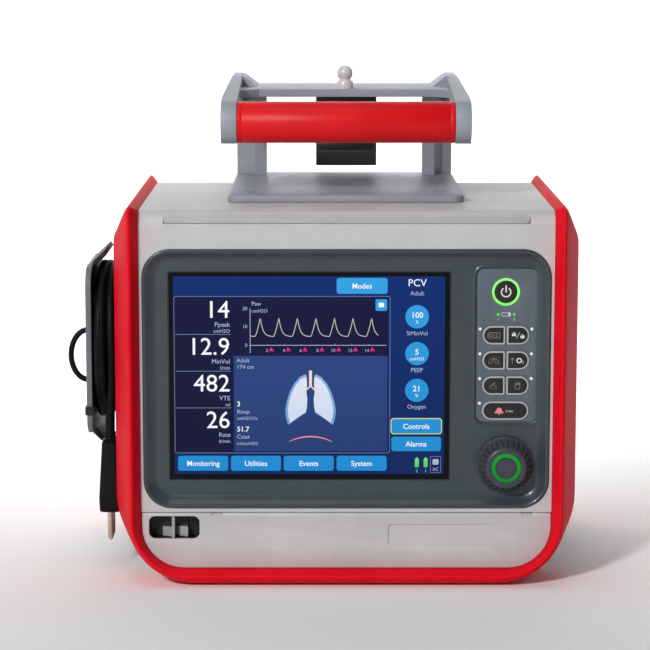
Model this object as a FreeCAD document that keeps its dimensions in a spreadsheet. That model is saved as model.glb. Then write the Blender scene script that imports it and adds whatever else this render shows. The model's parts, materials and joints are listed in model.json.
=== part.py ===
import FreeCAD, Part
import math
import os
import re

import Sketcher
from FreeCAD import Placement, Rotation, Vector

# Compact transport ventilator. Millimetres, +X to the right, +Y to the rear, +Z up.
# The origin is the centre of the base, on the plane that the unit stands on.

doc = FreeCAD.newDocument("ventilator")
sheet = doc.addObject("Spreadsheet::Sheet", "dims")

driving = {
    # housing
    "case_half": 128.2, "face_y": -95, "seam_y": -6, "back_y": 93, "mirror_y": -1,
    "case_low": 10, "case_top": 235, "case_corner": 27, "wall": 3, "shelf_z": 46, "top_round": 9,
    # bumper
    "ridge_half": 133.2, "ridge_y": -108, "ridge_land": 1, "ridge_low": 7.7, "ridge_top": 239.7,
    "flank_half": 146.5, "flank_y": -60, "flank_top": 215, "bumper_split": 190,
    # bezel, glass and keypad
    "bezel_half": 126.6, "bezel_low": 48.3, "bezel_top": 211.8, "bezel_corner": 18,
    "floor_y": -91, "glass_left": -110.9, "glass_right": 64.8, "glass_low": 65.5, "glass_top": 197.5,
    "pad_left": 79.7, "pad_right": 119.8, "pad_low": 101.5, "pad_top": 200, "pad_y": -90,
    "power_x": 98.7, "power_z": 184.4, "power_radius": 7, "ring_radius": 8.6,
    "keys_x": 99, "key_wide": 14, "key_tall": 11.6, "key_gap": 1, "key_pitch": 15.87, "key_row_z": 157.3,
    "key_travel": 0.5,
    # knob
    "knob_x": 99.1, "knob_z": 75.8, "knob_radius": 18, "knob_top_radius": 12.2, "knob_front": -104,
    "knob_base": -92, "sleeve_radius": 3, "shaft_radius": 1.8,
    # battery door and latch
    "hinge_y": -92.9, "hinge_z": 43.55, "barrel_radius": 2.1, "pin_radius": 0.9, "door_gap": 0.35,
    "door_thick": 2.4, "lug_left": -84, "lug_right": 110, "lug_wide": 6,
    "latch_left": -123.5, "latch_right": -91.8, "latch_low": 28.8, "latch_top": 43.4, "web_x": -108.3,
    # inside
    "battery_wide": 82, "battery_long": 124, "battery_tall": 28,
    "blower_x": 34, "blower_y": 6, "blower_radius": 42, "blower_low": 66, "blower_high": 104,
    "fan_x": -78, "fan_z": 165, "fan_size": 60,
    # breathing ports on the right
    "port_radius": 11, "port_z": 92, "inspired_y": 24, "expired_y": -22, "port_reach": 143,
    # mains lead on the left
    "lead_dia": 6, "coil_out": -162.1, "coil_in": -133.5, "coil_half": 52, "coil_low": 89, "coil_high": 193.5,
    "coil_depth": 13, "coil_corner": 42, "lead_x": -151.4, "lead_y": -44, "plug_low": 36, "plug_high": 87,
    "inlet_y": 30, "inlet_z": 50, "inlet_wide": 28, "inlet_tall": 20,
    # handle
    "plate_half": 75, "plate_front": -46, "handle_back": 110, "plate_thick": 5,
    "deck_low": 296.4, "deck_high": 301.6, "deck_front": 40, "deck_half": 67, "arm_in": 69, "arm_out": 79,
    "grip_y": -40, "grip_z": 285.6, "grip_radius": 13.1,
    "stud_y": 45, "ball_radius": 5.25,
}
for row, (alias, value) in enumerate(driving.items(), start=1):
    sheet.set(f"A{row}", alias)
    sheet.set(f"B{row}", str(value))
    sheet.setAlias(f"B{row}", alias)
doc.recompute()

pieces = {}


def bound(formula):
    """Turn a formula in alias names into an expression on the sheet."""
    return re.sub(r"[a-z_]{3,}", lambda found: "dims." + found.group(), str(formula))


def size(formula):
    """The number that a formula in alias names comes to."""
    answer = sheet.evalExpression(bound(formula))
    return float(getattr(answer, "Value", answer))


def bind(thing, **formulas):
    for name, formula in formulas.items():
        thing.setExpression(name.replace("__", "."), bound(formula))
    return thing


def keep(label, thing):
    """Make a document object a named piece."""
    thing.Label = label
    pieces[label] = thing
    return thing


def block(x, y, z):
    """A box between pairs of formulas along each axis."""
    box = doc.addObject("Part::Box", "block")
    bind(box, Length=f"({x[1]})-({x[0]})", Width=f"({y[1]})-({y[0]})", Height=f"({z[1]})-({z[0]})")
    return bind(box, Placement__Base__x=x[0], Placement__Base__y=y[0], Placement__Base__z=z[0])


TURN = {"X": Rotation(Vector(0, 1, 0), 90), "Y": Rotation(Vector(1, 0, 0), -90), "Z": Rotation()}


def place(thing, x, y, z, along):
    thing.Placement = Placement(Vector(), TURN[along])
    return bind(thing, Placement__Base__x=x, Placement__Base__y=y, Placement__Base__z=z)


def rod(x, y, z, radius, length, along="Z"):
    """A cylinder that starts at a point and runs along an axis."""
    return place(bind(doc.addObject("Part::Cylinder", "rod"), Radius=radius, Height=length), x, y, z, along)


def taper(x, y, z, start, end, length, along="Z"):
    cone = bind(doc.addObject("Part::Cone", "taper"), Radius1=start, Radius2=end, Height=length)
    return place(cone, x, y, z, along)


def tube(x, y, z, radius, bore, length, along="Z"):
    return cut(rod(x, y, z, radius, length, along), rod(x, y, z, bore, length, along))


def fuse(*things):
    joined = doc.addObject("Part::MultiFuse", "fuse")
    joined.Shapes = list(things)
    return joined


def cut(base, *tools):
    """Take tools away from a base, one after the other."""
    for tool in tools:
        step = doc.addObject("Part::Cut", "cut")
        step.Base, step.Tool = base, tool
        base = step
    return base


def common(first, second):
    both = doc.addObject("Part::Common", "common")
    both.Base, both.Tool = first, second
    return both


def feature(shape):
    """A piece whose shape is worked out below from the sheet's sizes."""
    solid = doc.addObject("Part::Feature", "shape")
    solid.Shape = shape
    solid.Placement = shape.Placement
    return solid


# A sketch plane's role, and the sign of its normal along the axis that it faces.
PLANES = {"front": ("XZ_Plane", -1), "side": ("YZ_Plane", 1), "top": ("XY_Plane", 1)}


def plate(plane, across, up, corner, low, high):
    """A PartDesign pad of a rounded rectangle, between two heights over its plane."""
    body = doc.addObject("PartDesign::Body", "plate")
    role, sign = PLANES[plane]
    sketch = body.newObject("Sketcher::SketchObject", "outline")
    sketch.AttachmentSupport = [(next(f for f in body.Origin.OriginFeatures if f.Role == role), "")]
    sketch.MapMode = "FlatFace"
    bind(sketch, AttachmentOffset__Base__z=low if sign > 0 else f"-({high})")
    x0, x1, y0, y1, r = size(across[0]), size(across[1]), size(up[0]), size(up[1]), size(corner)
    corners = [(x1 - r, y0 + r, -90), (x1 - r, y1 - r, 0), (x0 + r, y1 - r, 90), (x0 + r, y0 + r, 180)]
    starts = [(x0 + r, y0), (x1, y0 + r), (x1 - r, y1), (x0, y1 - r)]
    ends = [(x1 - r, y0), (x1, y1 - r), (x0 + r, y1), (x0, y0 + r)]
    for start, end, (cx, cy, angle) in zip(starts, ends, corners):
        sketch.addGeometry(Part.LineSegment(Vector(*start, 0), Vector(*end, 0)))
        circle = Part.Circle(Vector(cx, cy, 0), Vector(0, 0, 1), r)
        sketch.addGeometry(Part.ArcOfCircle(circle, math.radians(angle), math.radians(angle + 90)))
    for side in range(4):
        line, arc = 2 * side, 2 * side + 1
        sketch.addConstraint(Sketcher.Constraint("Tangent", line, 2, arc, 1))
        sketch.addConstraint(Sketcher.Constraint("Tangent", arc, 2, (line + 2) % 8, 1))
        sketch.addConstraint(Sketcher.Constraint("Vertical" if side % 2 else "Horizontal", line))
    for side in range(1, 4):
        sketch.addConstraint(Sketcher.Constraint("Equal", 1, 2 * side + 1))
    limits = [("Radius", (1, r), corner), ("DistanceX", (-1, 1, 6, 1, x0), across[0]),
              ("DistanceX", (-1, 1, 2, 1, x1), across[1]), ("DistanceY", (-1, 1, 0, 1, y0), up[0]),
              ("DistanceY", (-1, 1, 4, 1, y1), up[1])]
    for kind, where, formula in limits:
        index = sketch.addConstraint(Sketcher.Constraint(kind, *where))
        sketch.renameConstraint(index, f"limit{index}")
        sketch.setExpression(f"Constraints.limit{index}", bound(formula))
    pad = body.newObject("PartDesign::Pad", "pad")
    pad.Profile = sketch
    bind(pad, Length=f"({high})-({low})")
    return body


# Wires and solids for the shapes that no primitive gives.

def wire(points, closed=True):
    return Part.makePolygon([Vector(*p) for p in points] + ([Vector(*points[0])] if closed else []))


def prism(points, direction):
    """A polygon pushed along a direction."""
    return Part.Face(wire(points)).extrude(Vector(*direction))


def caseOutline(half, low, high, radius, y):
    """The front view of the case: square at the top, rounded at the two lower corners."""
    bend = radius * math.sqrt(0.5)
    at = lambda x, z: Vector(x, y, z)
    edges = [Part.makeLine(at(-half, high), at(-half, low + radius))]
    edges.append(Part.Arc(at(-half, low + radius), at(-half + radius - bend, low + radius - bend),
                          at(-half + radius, low)).toShape())
    edges.append(Part.makeLine(at(-half + radius, low), at(half - radius, low)))
    edges.append(Part.Arc(at(half - radius, low), at(half - radius + bend, low + radius - bend),
                          at(half, low + radius)).toShape())
    edges.append(Part.makeLine(at(half, low + radius), at(half, high)))
    edges.append(Part.makeLine(at(half, high), at(-half, high)))
    return Part.Wire(edges)


def caseBlock(inset, y0, y1, top):
    """The case outline as a solid, set in by a wall, between two depths."""
    half, low, corner = size("case_half") - inset, size("case_low") + inset, size("case_corner") - inset
    return Part.Face(caseOutline(half, low, top, corner, y0)).extrude(Vector(0, y1 - y0, 0))


def box(x0, x1, y0, y1, z0, z1):
    return Part.makeBox(x1 - x0, y1 - y0, z1 - z0, Vector(x0, y0, z0))


def cylinder(x, y, z, radius, length, direction=(0, 0, 1)):
    return Part.makeCylinder(radius, length, Vector(x, y, z), Vector(*direction))


def mirrored(shape):
    return shape.mirror(Vector(), Vector(1, 0, 0))


def tangentRoute(points):
    """Straight runs joined by tangent arcs of 0.45 of the shorter run over the tangent of half the turn."""
    spots = [Vector(*p) for p in points]
    edges, radii, last = [], [], spots[0]
    for before, corner, after in zip(spots, spots[1:], spots[2:]):
        into, out = corner - before, after - corner
        turn = into.getAngle(out)
        reach = 0.45 * min(into.Length, out.Length)
        radii.append(reach / math.tan(turn / 2))
        into.normalize()
        out.normalize()
        start, end = corner - into * reach, corner + out * reach
        middle = corner + (out - into).normalize() * (radii[-1] / math.cos(turn / 2) - radii[-1])
        edges.append(Part.makeLine(last, start))
        edges.append(Part.Arc(start, middle, end).toShape())
        last = end
    edges.append(Part.makeLine(last, spots[-1]))
    return Part.Wire(edges), radii


def cordTube(label, points, diameter):
    """A round cord along a tangent route."""
    route, radii = tangentRoute(points)
    direction = Vector(*points[1]) - Vector(*points[0])
    ring = Part.Wire(Part.makeCircle(diameter / 2, Vector(*points[0]), direction))
    solid = route.makePipeShell([ring], True, True)
    expected = math.pi * diameter ** 2 / 4 * route.Length
    print(label, "radii", [round(r, 1) for r in radii], "length", round(route.Length, 1),
          "volume ratio", round(solid.Volume / expected, 4))
    return keep(label, feature(solid))


# Housing

def lugPlaces():
    """Where the door's two hinge lugs start along X."""
    return size("lug_left"), size("lug_right")


def topEdge(shell, depth):
    """The edge between the top and the face at a depth."""
    top = size("case_top")
    middles = [(e, e.CenterOfMass) for e in shell.Edges]
    return [e for e, middle in middles if abs(middle.y - depth) < 0.1 and abs(middle.z - top) < 0.1]


def makeFrontHousing():
    face, seam, top, wall = size("face_y"), size("seam_y"), size("case_top"), size("wall")
    shell = caseBlock(0, face, seam, top)
    shell = shell.makeFillet(size("top_round"), topEdge(shell, face))
    shell = shell.cut(caseBlock(wall, face + wall, seam + 1, top - wall))
    half, shelf, hingeY, hingeZ = size("case_half"), size("shelf_z"), size("hinge_y"), size("hinge_z")
    shell = shell.cut(box(-half - 1, half + 1, face - 1, face + 4.5, 0, shelf))
    panLeft, panRight, panLow = size("latch_left") - 2, size("latch_right") + 2, size("latch_low") - 5.5
    shell = shell.cut(box(panLeft, panRight, -91, -82.5, panLow, shelf))
    lugs = []
    for x in lugPlaces():
        eye = cylinder(x, hingeY, hingeZ, 1.4, size("lug_wide"), (1, 0, 0))
        lugs += [eye, box(x, x + size("lug_wide"), hingeY + 0.4, hingeY + 2.6, hingeZ - 0.8, shelf + 1)]
    shell = shell.multiFuse([box(-half + 1, half - 1, face + 0.5, -83.6, shelf, shelf + 2.2)] + lugs)
    pin, long = size("pin_radius"), size("lug_wide") + 2
    shell = shell.cut([cylinder(x - 1, hingeY, hingeZ, pin, long, (1, 0, 0)) for x in lugPlaces()])
    lamp = box(-112.9, 112.9, face - 1, face + 2, 227.3, 232.8)
    return shell.removeSplitter().cut(lamp).cut([cylinder(x, -24, top - 4, 1.85, 6) for x in (-61, 61)])


bezelHole = plate("front", ("-bezel_half", "bezel_half"), ("bezel_low", "bezel_top"), "bezel_corner",
                  "face_y-1", "face_y+7")

keep("front_housing", cut(feature(makeFrontHousing()), bezelHole))


def makeRearHousing():
    seam, back, top, wall = size("seam_y"), size("back_y"), size("case_top"), size("wall")
    shell = caseBlock(0, seam, back, top)
    shell = shell.makeFillet(size("top_round"), topEdge(shell, back))
    shell = shell.cut(caseBlock(wall, seam - 1, back - wall, top - wall))
    vent = size("fan_size") / 2 - 3
    slots = [box(size("fan_x") - vent, size("fan_x") + vent, back - wall - 1, back + 1, z, z + 3)
             for z in range(int(size("fan_z") - vent), int(size("fan_z") + vent), 6)]
    shell = shell.cut([cylinder(x, 82.5, top - 4, 1.85, 6) for x in (-35, 35)])
    return shell.cut(slots).cut(box(44, 96, back - wall - 1, back + 1, 134, 186))


inletDepth = ("inlet_y-inlet_wide/2-1.5", "inlet_y+inlet_wide/2+1.5")
inletHeight = ("inlet_z-inlet_tall/2-1.5", "inlet_z+inlet_tall/2+1.5")
sideHole = block(("-case_half-1", "-case_half+wall+1"), inletDepth, inletHeight)
portHoles = [rod("case_half-wall-1", where, "port_z", "port_radius+2", "wall*3", "X")
             for where in ("inspired_y", "expired_y")]
keep("rear_housing", cut(feature(makeRearHousing()), sideHole, portHoles[0]))
pieces["front_housing"] = keep("front_housing", cut(pieces["front_housing"], portHoles[1]))

leftPanel = plate("side", ("flank_y+2.2", "-flank_y-4.2"), ("case_low+30", "flank_top-2.2"), "6",
                  "-case_half-wall", "-case_half")
sideOpening = block(("-case_half-wall-1", "-case_half+1"), inletDepth, inletHeight)
keep("side_panel_left", cut(leftPanel, sideOpening))
rightPanel = plate("side", ("flank_y+2.2", "-flank_y-4.2"), ("case_low+30", "flank_top-2.2"), "6",
                   "case_half", "case_half+wall")
panelHoles = [rod("case_half-1", where, "port_z", "port_radius+2", "wall*2", "X")
              for where in ("inspired_y", "expired_y")]
keep("side_panel_right", cut(rightPanel, *panelHoles))

coverBase = plate("top", ("-96", "96"), ("-56", "54"), "8", "0", "case_low")
coverPocket = plate("top", ("-92", "92"), ("-52", "50"), "5", "3", "case_low+1")
coverBosses = [rod(x, y, 3, 7, "case_low-3") for x in (-50, 50) for y in (-51, 49)]
coverHoles = [rod(x, y, -1, 2.5, 12) for x in (-50, 50) for y in (-51, 49)]
keep("bottom_cover", cut(fuse(cut(coverBase, coverPocket), *coverBosses), *coverHoles))


# Bumpers: a ridge in front of the case, a flank that spreads back to the widest line, and rails on top.

def lowerBumper(top):
    """The U round the front of the case, lofted from front-view outlines at four depths."""
    ridge, ridgeY, land = size("ridge_half"), size("ridge_y"), size("ridge_land")
    flank, flankY, low = size("flank_half"), size("flank_y"), size("ridge_low")
    corner, face = size("case_corner"), size("face_y")
    chinY = ridgeY + 10
    chin = ridge + land + (flank - ridge - land) * (chinY - ridgeY) / (flankY - ridgeY)
    outer = [caseOutline(ridge + land, low - land, top, corner + 10, ridgeY),
             caseOutline(chin, 0, top, corner + 15, chinY),
             caseOutline(flank, 0, top, corner + 23, flankY),
             caseOutline(flank, 0, top, corner + 23, flankY + 2)]
    inner = [caseOutline(ridge - land, low + land, top + 1, corner + 8, ridgeY - 0.01),
             caseOutline(size("case_half"), size("case_low"), top + 1, corner, face),
             caseOutline(size("case_half"), size("case_low"), top + 1, corner, flankY + 3)]
    return Part.makeLoft(outer, True, True).cut(Part.makeLoft(inner, True, True))


def railPair():
    """Both top rails with their front and rear legs down to the split."""
    case, ridge, land, flank = size("case_half"), size("ridge_half"), size("ridge_land"), size("flank_half")
    mirror, split, top = size("mirror_y"), size("bumper_split"), size("ridge_top")
    front = [(case, size("face_y")), (ridge - land, size("ridge_y")), (ridge + land, size("ridge_y")),
             (flank, size("flank_y"))]
    plan = front + [(x, 2 * mirror - y) for x, y in reversed(front)]
    standing = prism([(x, y, split) for x, y in plan], (0, 0, top - split + 1))
    section = [(case, size("case_top")), (ridge - land, top), (ridge + land, top), (flank, size("flank_top")),
               (flank, split), (case, split)]
    y0, y1 = size("ridge_y") - 1, 2 * mirror - size("ridge_y") + 1
    lying = prism([(x, y0, z) for x, z in section], (0, y1 - y0, 0))
    hollow = box(case - 1, flank + 1, size("flank_y") + 2, 2 * mirror - size("flank_y") - 2, split - 1,
                 size("flank_top") - 2)
    right = standing.common(lying).cut(hollow)
    return [right, mirrored(right)]


frontBumper = lowerBumper(size("bumper_split")).multiFuse(railPair()).removeSplitter()
keep("front_bumper", feature(frontBumper))
rearBumper = lowerBumper(size("bumper_split") - 0.4)
rearBumper = rearBumper.mirror(Vector(0, size("mirror_y"), 0), Vector(0, 1, 0))
keep("rear_bumper", feature(rearBumper))


# Bezel, display and keypad

def dish():
    """The bezel's sloped inner wall, from its lip down to its floor."""
    rings = []
    for inset, y in ((1.2, size("face_y") - 0.01), (4.5, size("face_y") + 2.6), (7.5, size("floor_y"))):
        half, low, high = size("bezel_half") - inset, size("bezel_low") + inset, size("bezel_top") - inset
        rings.append(roundedRing(-half, half, low, high, size("bezel_corner") - inset, y))
    return Part.makeLoft(rings, True, True)


def roundedRing(x0, x1, z0, z1, r, y):
    """A rounded rectangle facing the front."""
    bend = r * math.sqrt(0.5)
    at = lambda x, z: Vector(x, y, z)
    edges = []
    for cx, cz, sx, sz in ((x1 - r, z0 + r, 1, -1), (x1 - r, z1 - r, 1, 1), (x0 + r, z1 - r, -1, 1),
                           (x0 + r, z0 + r, -1, -1)):
        first, last = at(cx, cz + sz * r), at(cx + sx * r, cz)
        if sx * sz > 0:
            first, last = last, first
        edges.append(Part.Arc(first, at(cx + sx * bend, cz + sz * bend), last).toShape())
    joined = []
    for edge, after in zip(edges, edges[1:] + edges[:1]):
        joined += [edge, Part.makeLine(edge.valueAt(edge.LastParameter), after.valueAt(after.FirstParameter))]
    return Part.Wire(joined)


bezelBlock = plate("front", ("-bezel_half", "bezel_half"), ("bezel_low", "bezel_top"), "bezel_corner",
                   "face_y", "face_y+7")
glassHole = block(("glass_left", "glass_right"), ("face_y-1", "face_y+8"), ("glass_low", "glass_top"))
padHole = plate("front", ("pad_left", "pad_right"), ("pad_low", "pad_top"), "6", "face_y-1", "face_y+8")
knobHole = rod("knob_x", "face_y-1", "knob_z", "sleeve_radius+1.5", "9", "Y")
keep("bezel", cut(bezelBlock, feature(dish()), glassHole, padHole, knobHole))

keep("alarm_lamp", plate("front", ("-112.6", "112.6"), ("227.6", "232.5"), "2.4", "face_y-0.2", "face_y+1.6"))
keep("touch_glass", block(("glass_left+0.2", "glass_right-0.2"), ("floor_y", "floor_y+1.8"),
                          ("glass_low+0.2", "glass_top-0.2")))
keep("display_module", plate("front", ("glass_left-1", "glass_right+1"), ("glass_low-1", "glass_top+1"), "2",
                             "face_y+7", "face_y+19"))

# Keys: name, row from the top, and side of the keypad. The last one is a pill as wide as a pair.
keyPlaces = {"key_day_night": (0, -1), "key_screen_lock": (0, 1), "key_manual_breath": (1, -1),
             "key_oxygen_boost": (1, 1), "key_nebuliser": (2, -1), "key_suction": (2, 1),
             "key_alarm_silence": (3, 0)}


def keyBlock(row, side, grow, y0, y1):
    """A key cap grown by a clearance: a pill, or a D that is square beside its neighbour."""
    left = "keys_x-key_gap/2-key_wide" if side <= 0 else "keys_x+key_gap/2"
    right = "keys_x+key_gap/2+key_wide" if side >= 0 else "keys_x-key_gap/2"
    middle = f"key_row_z-{row}*key_pitch"
    across = (f"{left}-{grow}", f"{right}+{grow}")
    up = (f"{middle}-key_tall/2-{grow}", f"{middle}+key_tall/2+{grow}")
    pill = plate("front", across, up, f"key_tall/2-0.1+{grow}", y0, y1)
    if side == 0:
        return pill
    half = (across[0], f"{left}+key_wide/2") if side > 0 else (f"{left}+key_wide/2", across[1])
    return fuse(pill, plate("front", half, up, "1", y0, y1))


padPlate = plate("front", ("pad_left", "pad_right"), ("pad_low", "pad_top"), "6", "pad_y", "pad_y+3.5")
padHoles = [rod("power_x", "pad_y-1", "power_z", "ring_radius", "6", "Y")]
padHoles += [keyBlock(row, side, 0.2, "pad_y-1", "pad_y+5") for row, side in keyPlaces.values()]
keep("keypad_panel", cut(padPlate, *padHoles))
for name, (row, side) in keyPlaces.items():
    keep(name, keyBlock(row, side, 0, "pad_y-0.7", "pad_y+3"))
lightRing = tube("power_x", "pad_y-0.8", "power_z", "ring_radius", "power_radius+0.25", "4", "Y")
keep("power_light_ring", lightRing)
keep("power_button", rod("power_x", "pad_y-1", "power_z", "power_radius", "3.8", "Y"))


# Rotary knob with push button

def makeKnob():
    """A fluted cone on a plain skirt, with its shaft."""
    x, z, radius, top = size("knob_x"), size("knob_z"), size("knob_radius"), size("knob_top_radius")
    base, front = size("knob_base"), size("knob_front")
    skirt = cylinder(x, base, z, radius, 2, (0, -1, 0))
    cone = Part.makeCone(radius - 0.8, top, base - 2 - front - 0.8, Vector(x, base - 2, z), Vector(0, -1, 0))
    flutes, count = [], 20
    tilt = math.atan2(radius - top, base - front)
    for step in range(count):
        flute = cylinder(0, -2, radius + 1.0, 2.0, 20, (0, -math.cos(tilt), -math.sin(tilt)))
        flute.rotate(Vector(), Vector(0, 1, 0), 360 * step / count)
        flutes.append(flute.translated(Vector(x, base, z)))
    crown = cylinder(x, front + 0.8, z, top - 0.9, 0.8, (0, -1, 0))
    groove = cylinder(x, front, z, 9, 0.6, (0, 1, 0)).cut(cylinder(x, front, z, 6, 0.6, (0, 1, 0)))
    shaft = cylinder(x, base, z, size("shaft_radius"), 10.4, (0, 1, 0))
    return skirt.multiFuse([cone.cut(flutes), crown, shaft]).cut(groove)


keep("knob", feature(makeKnob()))
keep("encoder_sleeve", tube("knob_x", "knob_base+0.3", "knob_z", "sleeve_radius", "shaft_radius+0.08",
                            "11.2", "Y"))
encoderCan = block(("knob_x-8", "knob_x+8"), ("face_y+7", "face_y+18"), ("knob_z-8", "knob_z+8"))
encoderBush = rod("knob_x", "floor_y-0.2", "knob_z", "sleeve_radius+1.4", "4", "Y")
keep("encoder", cut(fuse(encoderCan, encoderBush), rod("knob_x", "floor_y-1", "knob_z", "sleeve_radius+0.08",
                                                       "13.4", "Y")))


# Battery door: hinged along its top edge, latched at the left

def makeDoor():
    """A flap with a barrel along its top edge and a pan for the latch at its left."""
    face, gap, hingeY, hingeZ = size("face_y"), size("door_gap"), size("hinge_y"), size("hinge_z")
    low, corner, half = size("case_low") + gap, size("case_corner") - gap, size("case_half") - gap
    thick, barrel = size("door_thick"), size("barrel_radius")
    skin = Part.Face(caseOutline(half, low, hingeZ, corner, face)).extrude(Vector(0, thick, 0))
    left, right, bottom, top = size("latch_left"), size("latch_right"), size("latch_low"), size("latch_top")
    pan = box(left - 1.4, right + 1.4, face + 1, -83, bottom - 1.4, hingeZ)
    pan = pan.common(caseBlock(3.6, face, -80, 60))
    stiffener = box(-86, 100, face + thick, face + thick + 1.2, 22, 24)
    whole = skin.multiFuse([pan, cylinder(-half, hingeY, hingeZ, barrel, 2 * half, (1, 0, 0)), stiffener])
    well = Part.Face(roundedRing(left, right, bottom, top, 4, face - 1)).extrude(Vector(0, 11.4, 0))
    badge = Part.Face(roundedRing(26.2, 89.5, 24.8, 38.3, 3, face - 1)).extrude(Vector(0, 1.8, 0))
    notches = []
    for x in lugPlaces():
        left, wide = x - 0.3, size("lug_wide") + 0.6
        notches += [cylinder(left, hingeY, hingeZ, 1.7, wide, (1, 0, 0)),
                    box(left, left + wide, hingeY, -80, hingeZ - 2.3, hingeZ + 4),
                    box(left, left + wide, face - 1, -80, hingeZ + 0.1, hingeZ + 4)]
    bores = [cylinder(x - 8, hingeY, hingeZ, size("pin_radius") + 0.08, 22, (1, 0, 0)) for x in lugPlaces()]
    return whole.cut([well, badge] + notches + bores).removeSplitter()


keep("battery_door", feature(makeDoor()))
keep("door_hinge_pins", fuse(*[rod(f"{lug}-7", "hinge_y", "hinge_z", "pin_radius", "20", "X")
                               for lug in ("lug_left", "lug_right")]))


def makeLatch():
    """A web between two finger wells, on a slide at the back of the door's recess."""
    web, low, high = size("web_x"), size("latch_low") + 0.4, size("latch_top") - 0.4
    back = box(web - 7, web + 9, -86.4, -84.9, low, high)
    ramp = [(web + 0.9, -86.4, low), (web + 9, -86.4, low), (web + 9, -91, low), (web + 0.9, -86.9, low)]
    right = prism(ramp, (0, 0, 6.4))
    left = prism([(web - 7, -86.4, low), (web - 0.9, -86.4, low), (web - 0.9, -91, low), (web - 7, -88, low)],
                 (0, 0, 6))
    fin = box(web - 0.9, web + 0.9, size("face_y") + 0.4, -84.9, low, high)
    return back.multiFuse([right, left, fin])


keep("door_latch", feature(makeLatch()))
for number, left in ((1, "-battery_wide-2"), (2, "2")):
    cell = block((left, f"{left}+battery_wide"), ("-86", "-86+battery_long"), ("14.6", "14.6+battery_tall"))
    rib = block((f"{left}+20", f"{left}+battery_wide-20"), ("-88", "-86"), ("22", "34"))
    keep(f"battery_{number}", fuse(cell, rib))


# Inside

trayPlate = block(("-122", "122"), ("-83.4", "86"), ("shelf_z", "shelf_z+2"))
trayNotch = block(("-123", "-106"), ("inlet_y-20", "inlet_y+20"), ("shelf_z-1", "shelf_z+3"))
backWall = block(("-118", "118"), ("-74", "-72"), ("shelf_z+2", "206"))
keep("chassis", fuse(cut(trayPlate, trayNotch), backWall))

board = block(("-108", "108"), ("-70", "-68.4"), ("62", "196"))
chips = [block((x, x + w), ("-68.4", y), (z, z + tall)) for x, w, y, z, tall in
         ((-90, 30, -66, 150, 30), (-40, 18, -65, 160, 18), (10, 26, -66.4, 140, 20), (60, 12, -60, 150, 34),
          (-92, 46, -58, 72, 10), (-20, 40, -60, 72, 12), (50, 8, -58, 80, 40))]
keep("main_board", fuse(board, *chips))

supply = block(("-120", "-56"), ("52", "86"), ("shelf_z+4", "shelf_z+70"))
keep("power_supply", supply)


def makeBlowerHousing():
    """A hollow drum with an inlet eye on top and a straight outlet."""
    x, y, radius = size("blower_x"), size("blower_y"), size("blower_radius")
    low, high = size("blower_low"), size("blower_high")
    drum = cylinder(x, y, low, radius, high - low)
    duct = box(x - 60, x, y + radius - 20, y + radius, low + 6, high - 6)
    hollow = cylinder(x, y, low + 3, radius - 3, high - low - 6)
    way = box(x - 61, x, y + radius - 17, y + radius - 3, low + 9, high - 9)
    foot = cylinder(x, y, size("shelf_z") + 2, 20, low - size("shelf_z") - 2)
    return drum.multiFuse([duct, foot]).cut(hollow).cut(way).cut(cylinder(x, y, high - 4, 14, 6))


keep("blower_housing", feature(makeBlowerHousing()))


def makeImpeller():
    x, y, low = size("blower_x"), size("blower_y"), size("blower_low")
    disc = cylinder(x, y, low + 5, 34, 2)
    hub = cylinder(x, y, low + 4, 8, 20)
    blades = []
    for step in range(9):
        blade = box(7, 33, -0.6, 0.6, 0, 18)
        blade.rotate(Vector(33, 0, 0), Vector(0, 0, 1), -24)
        blade.rotate(Vector(), Vector(0, 0, 1), 40 * step)
        blades.append(blade.translated(Vector(x, y, low + 7)))
    reach = cylinder(x, y, low + 4, 34, 22)
    return disc.multiFuse([hub] + blades).common(reach)


keep("blower_impeller", feature(makeImpeller()))

mixerBlock = block(("86", "118"), ("-58", "-36"), ("shelf_z+2", "shelf_z+78"))
mixerValves = [rod("94", "-36", z, "8", "12", "Y") for z in ("70", "96")]
keep("gas_mixer", fuse(mixerBlock, *mixerValves))
cellCap = rod("100", "60", "shelf_z+42", "9", "10")
keep("oxygen_cell", fuse(rod("100", "60", "shelf_z+2", "14", "40"), cellCap))

fanBlock = block(("fan_x-fan_size/2", "fan_x+fan_size/2"), ("back_y-wall-15", "back_y-wall"),
                 ("fan_z-fan_size/2", "fan_z+fan_size/2"))
fanBore = rod("fan_x", "back_y-wall-16", "fan_z", "fan_size/2-2", "17", "Y")
fanArm = block(("fan_x-fan_size/2+1", "fan_x+fan_size/2-1"), ("back_y-wall-3", "back_y-wall"),
               ("fan_z-2", "fan_z+2"))
fanMotor = rod("fan_x", "back_y-wall-4", "fan_z", "12", "4", "Y")
keep("fan_frame", fuse(cut(fanBlock, fanBore), fanArm, fanMotor))


def makeFanRotor():
    x, y, z = size("fan_x"), size("back_y") - size("wall") - 14.4, size("fan_z")
    blades = []
    for step in range(7):
        blade = box(11, 27, -4.2, 4.2, -0.6, 0.6)
        blade.rotate(Vector(), Vector(1, 0, 0), 38)
        blade.rotate(Vector(), Vector(0, 0, 1), 360 * step / 7)
        blades.append(blade)
    rotor = cylinder(0, 0, -4.6, 12, 9.2).multiFuse(blades)
    rotor.rotate(Vector(), Vector(1, 0, 0), 90)
    return rotor.translated(Vector(x, y + 5, z))


keep("fan_rotor", feature(makeFanRotor()))
keep("air_filter", block(("45", "95"), ("back_y-wall-12", "back_y"), ("135", "185")))
coverPlate = plate("front", ("38", "102"), ("128", "192"), "6", "back_y", "back_y+3.4")
louvres = [block(("46", "94"), ("back_y-1", "back_y+4"), (z, z + 3)) for z in range(137, 184, 8)]
keep("filter_cover", cut(coverPlate, *louvres))


# Ports on the right side

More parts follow.
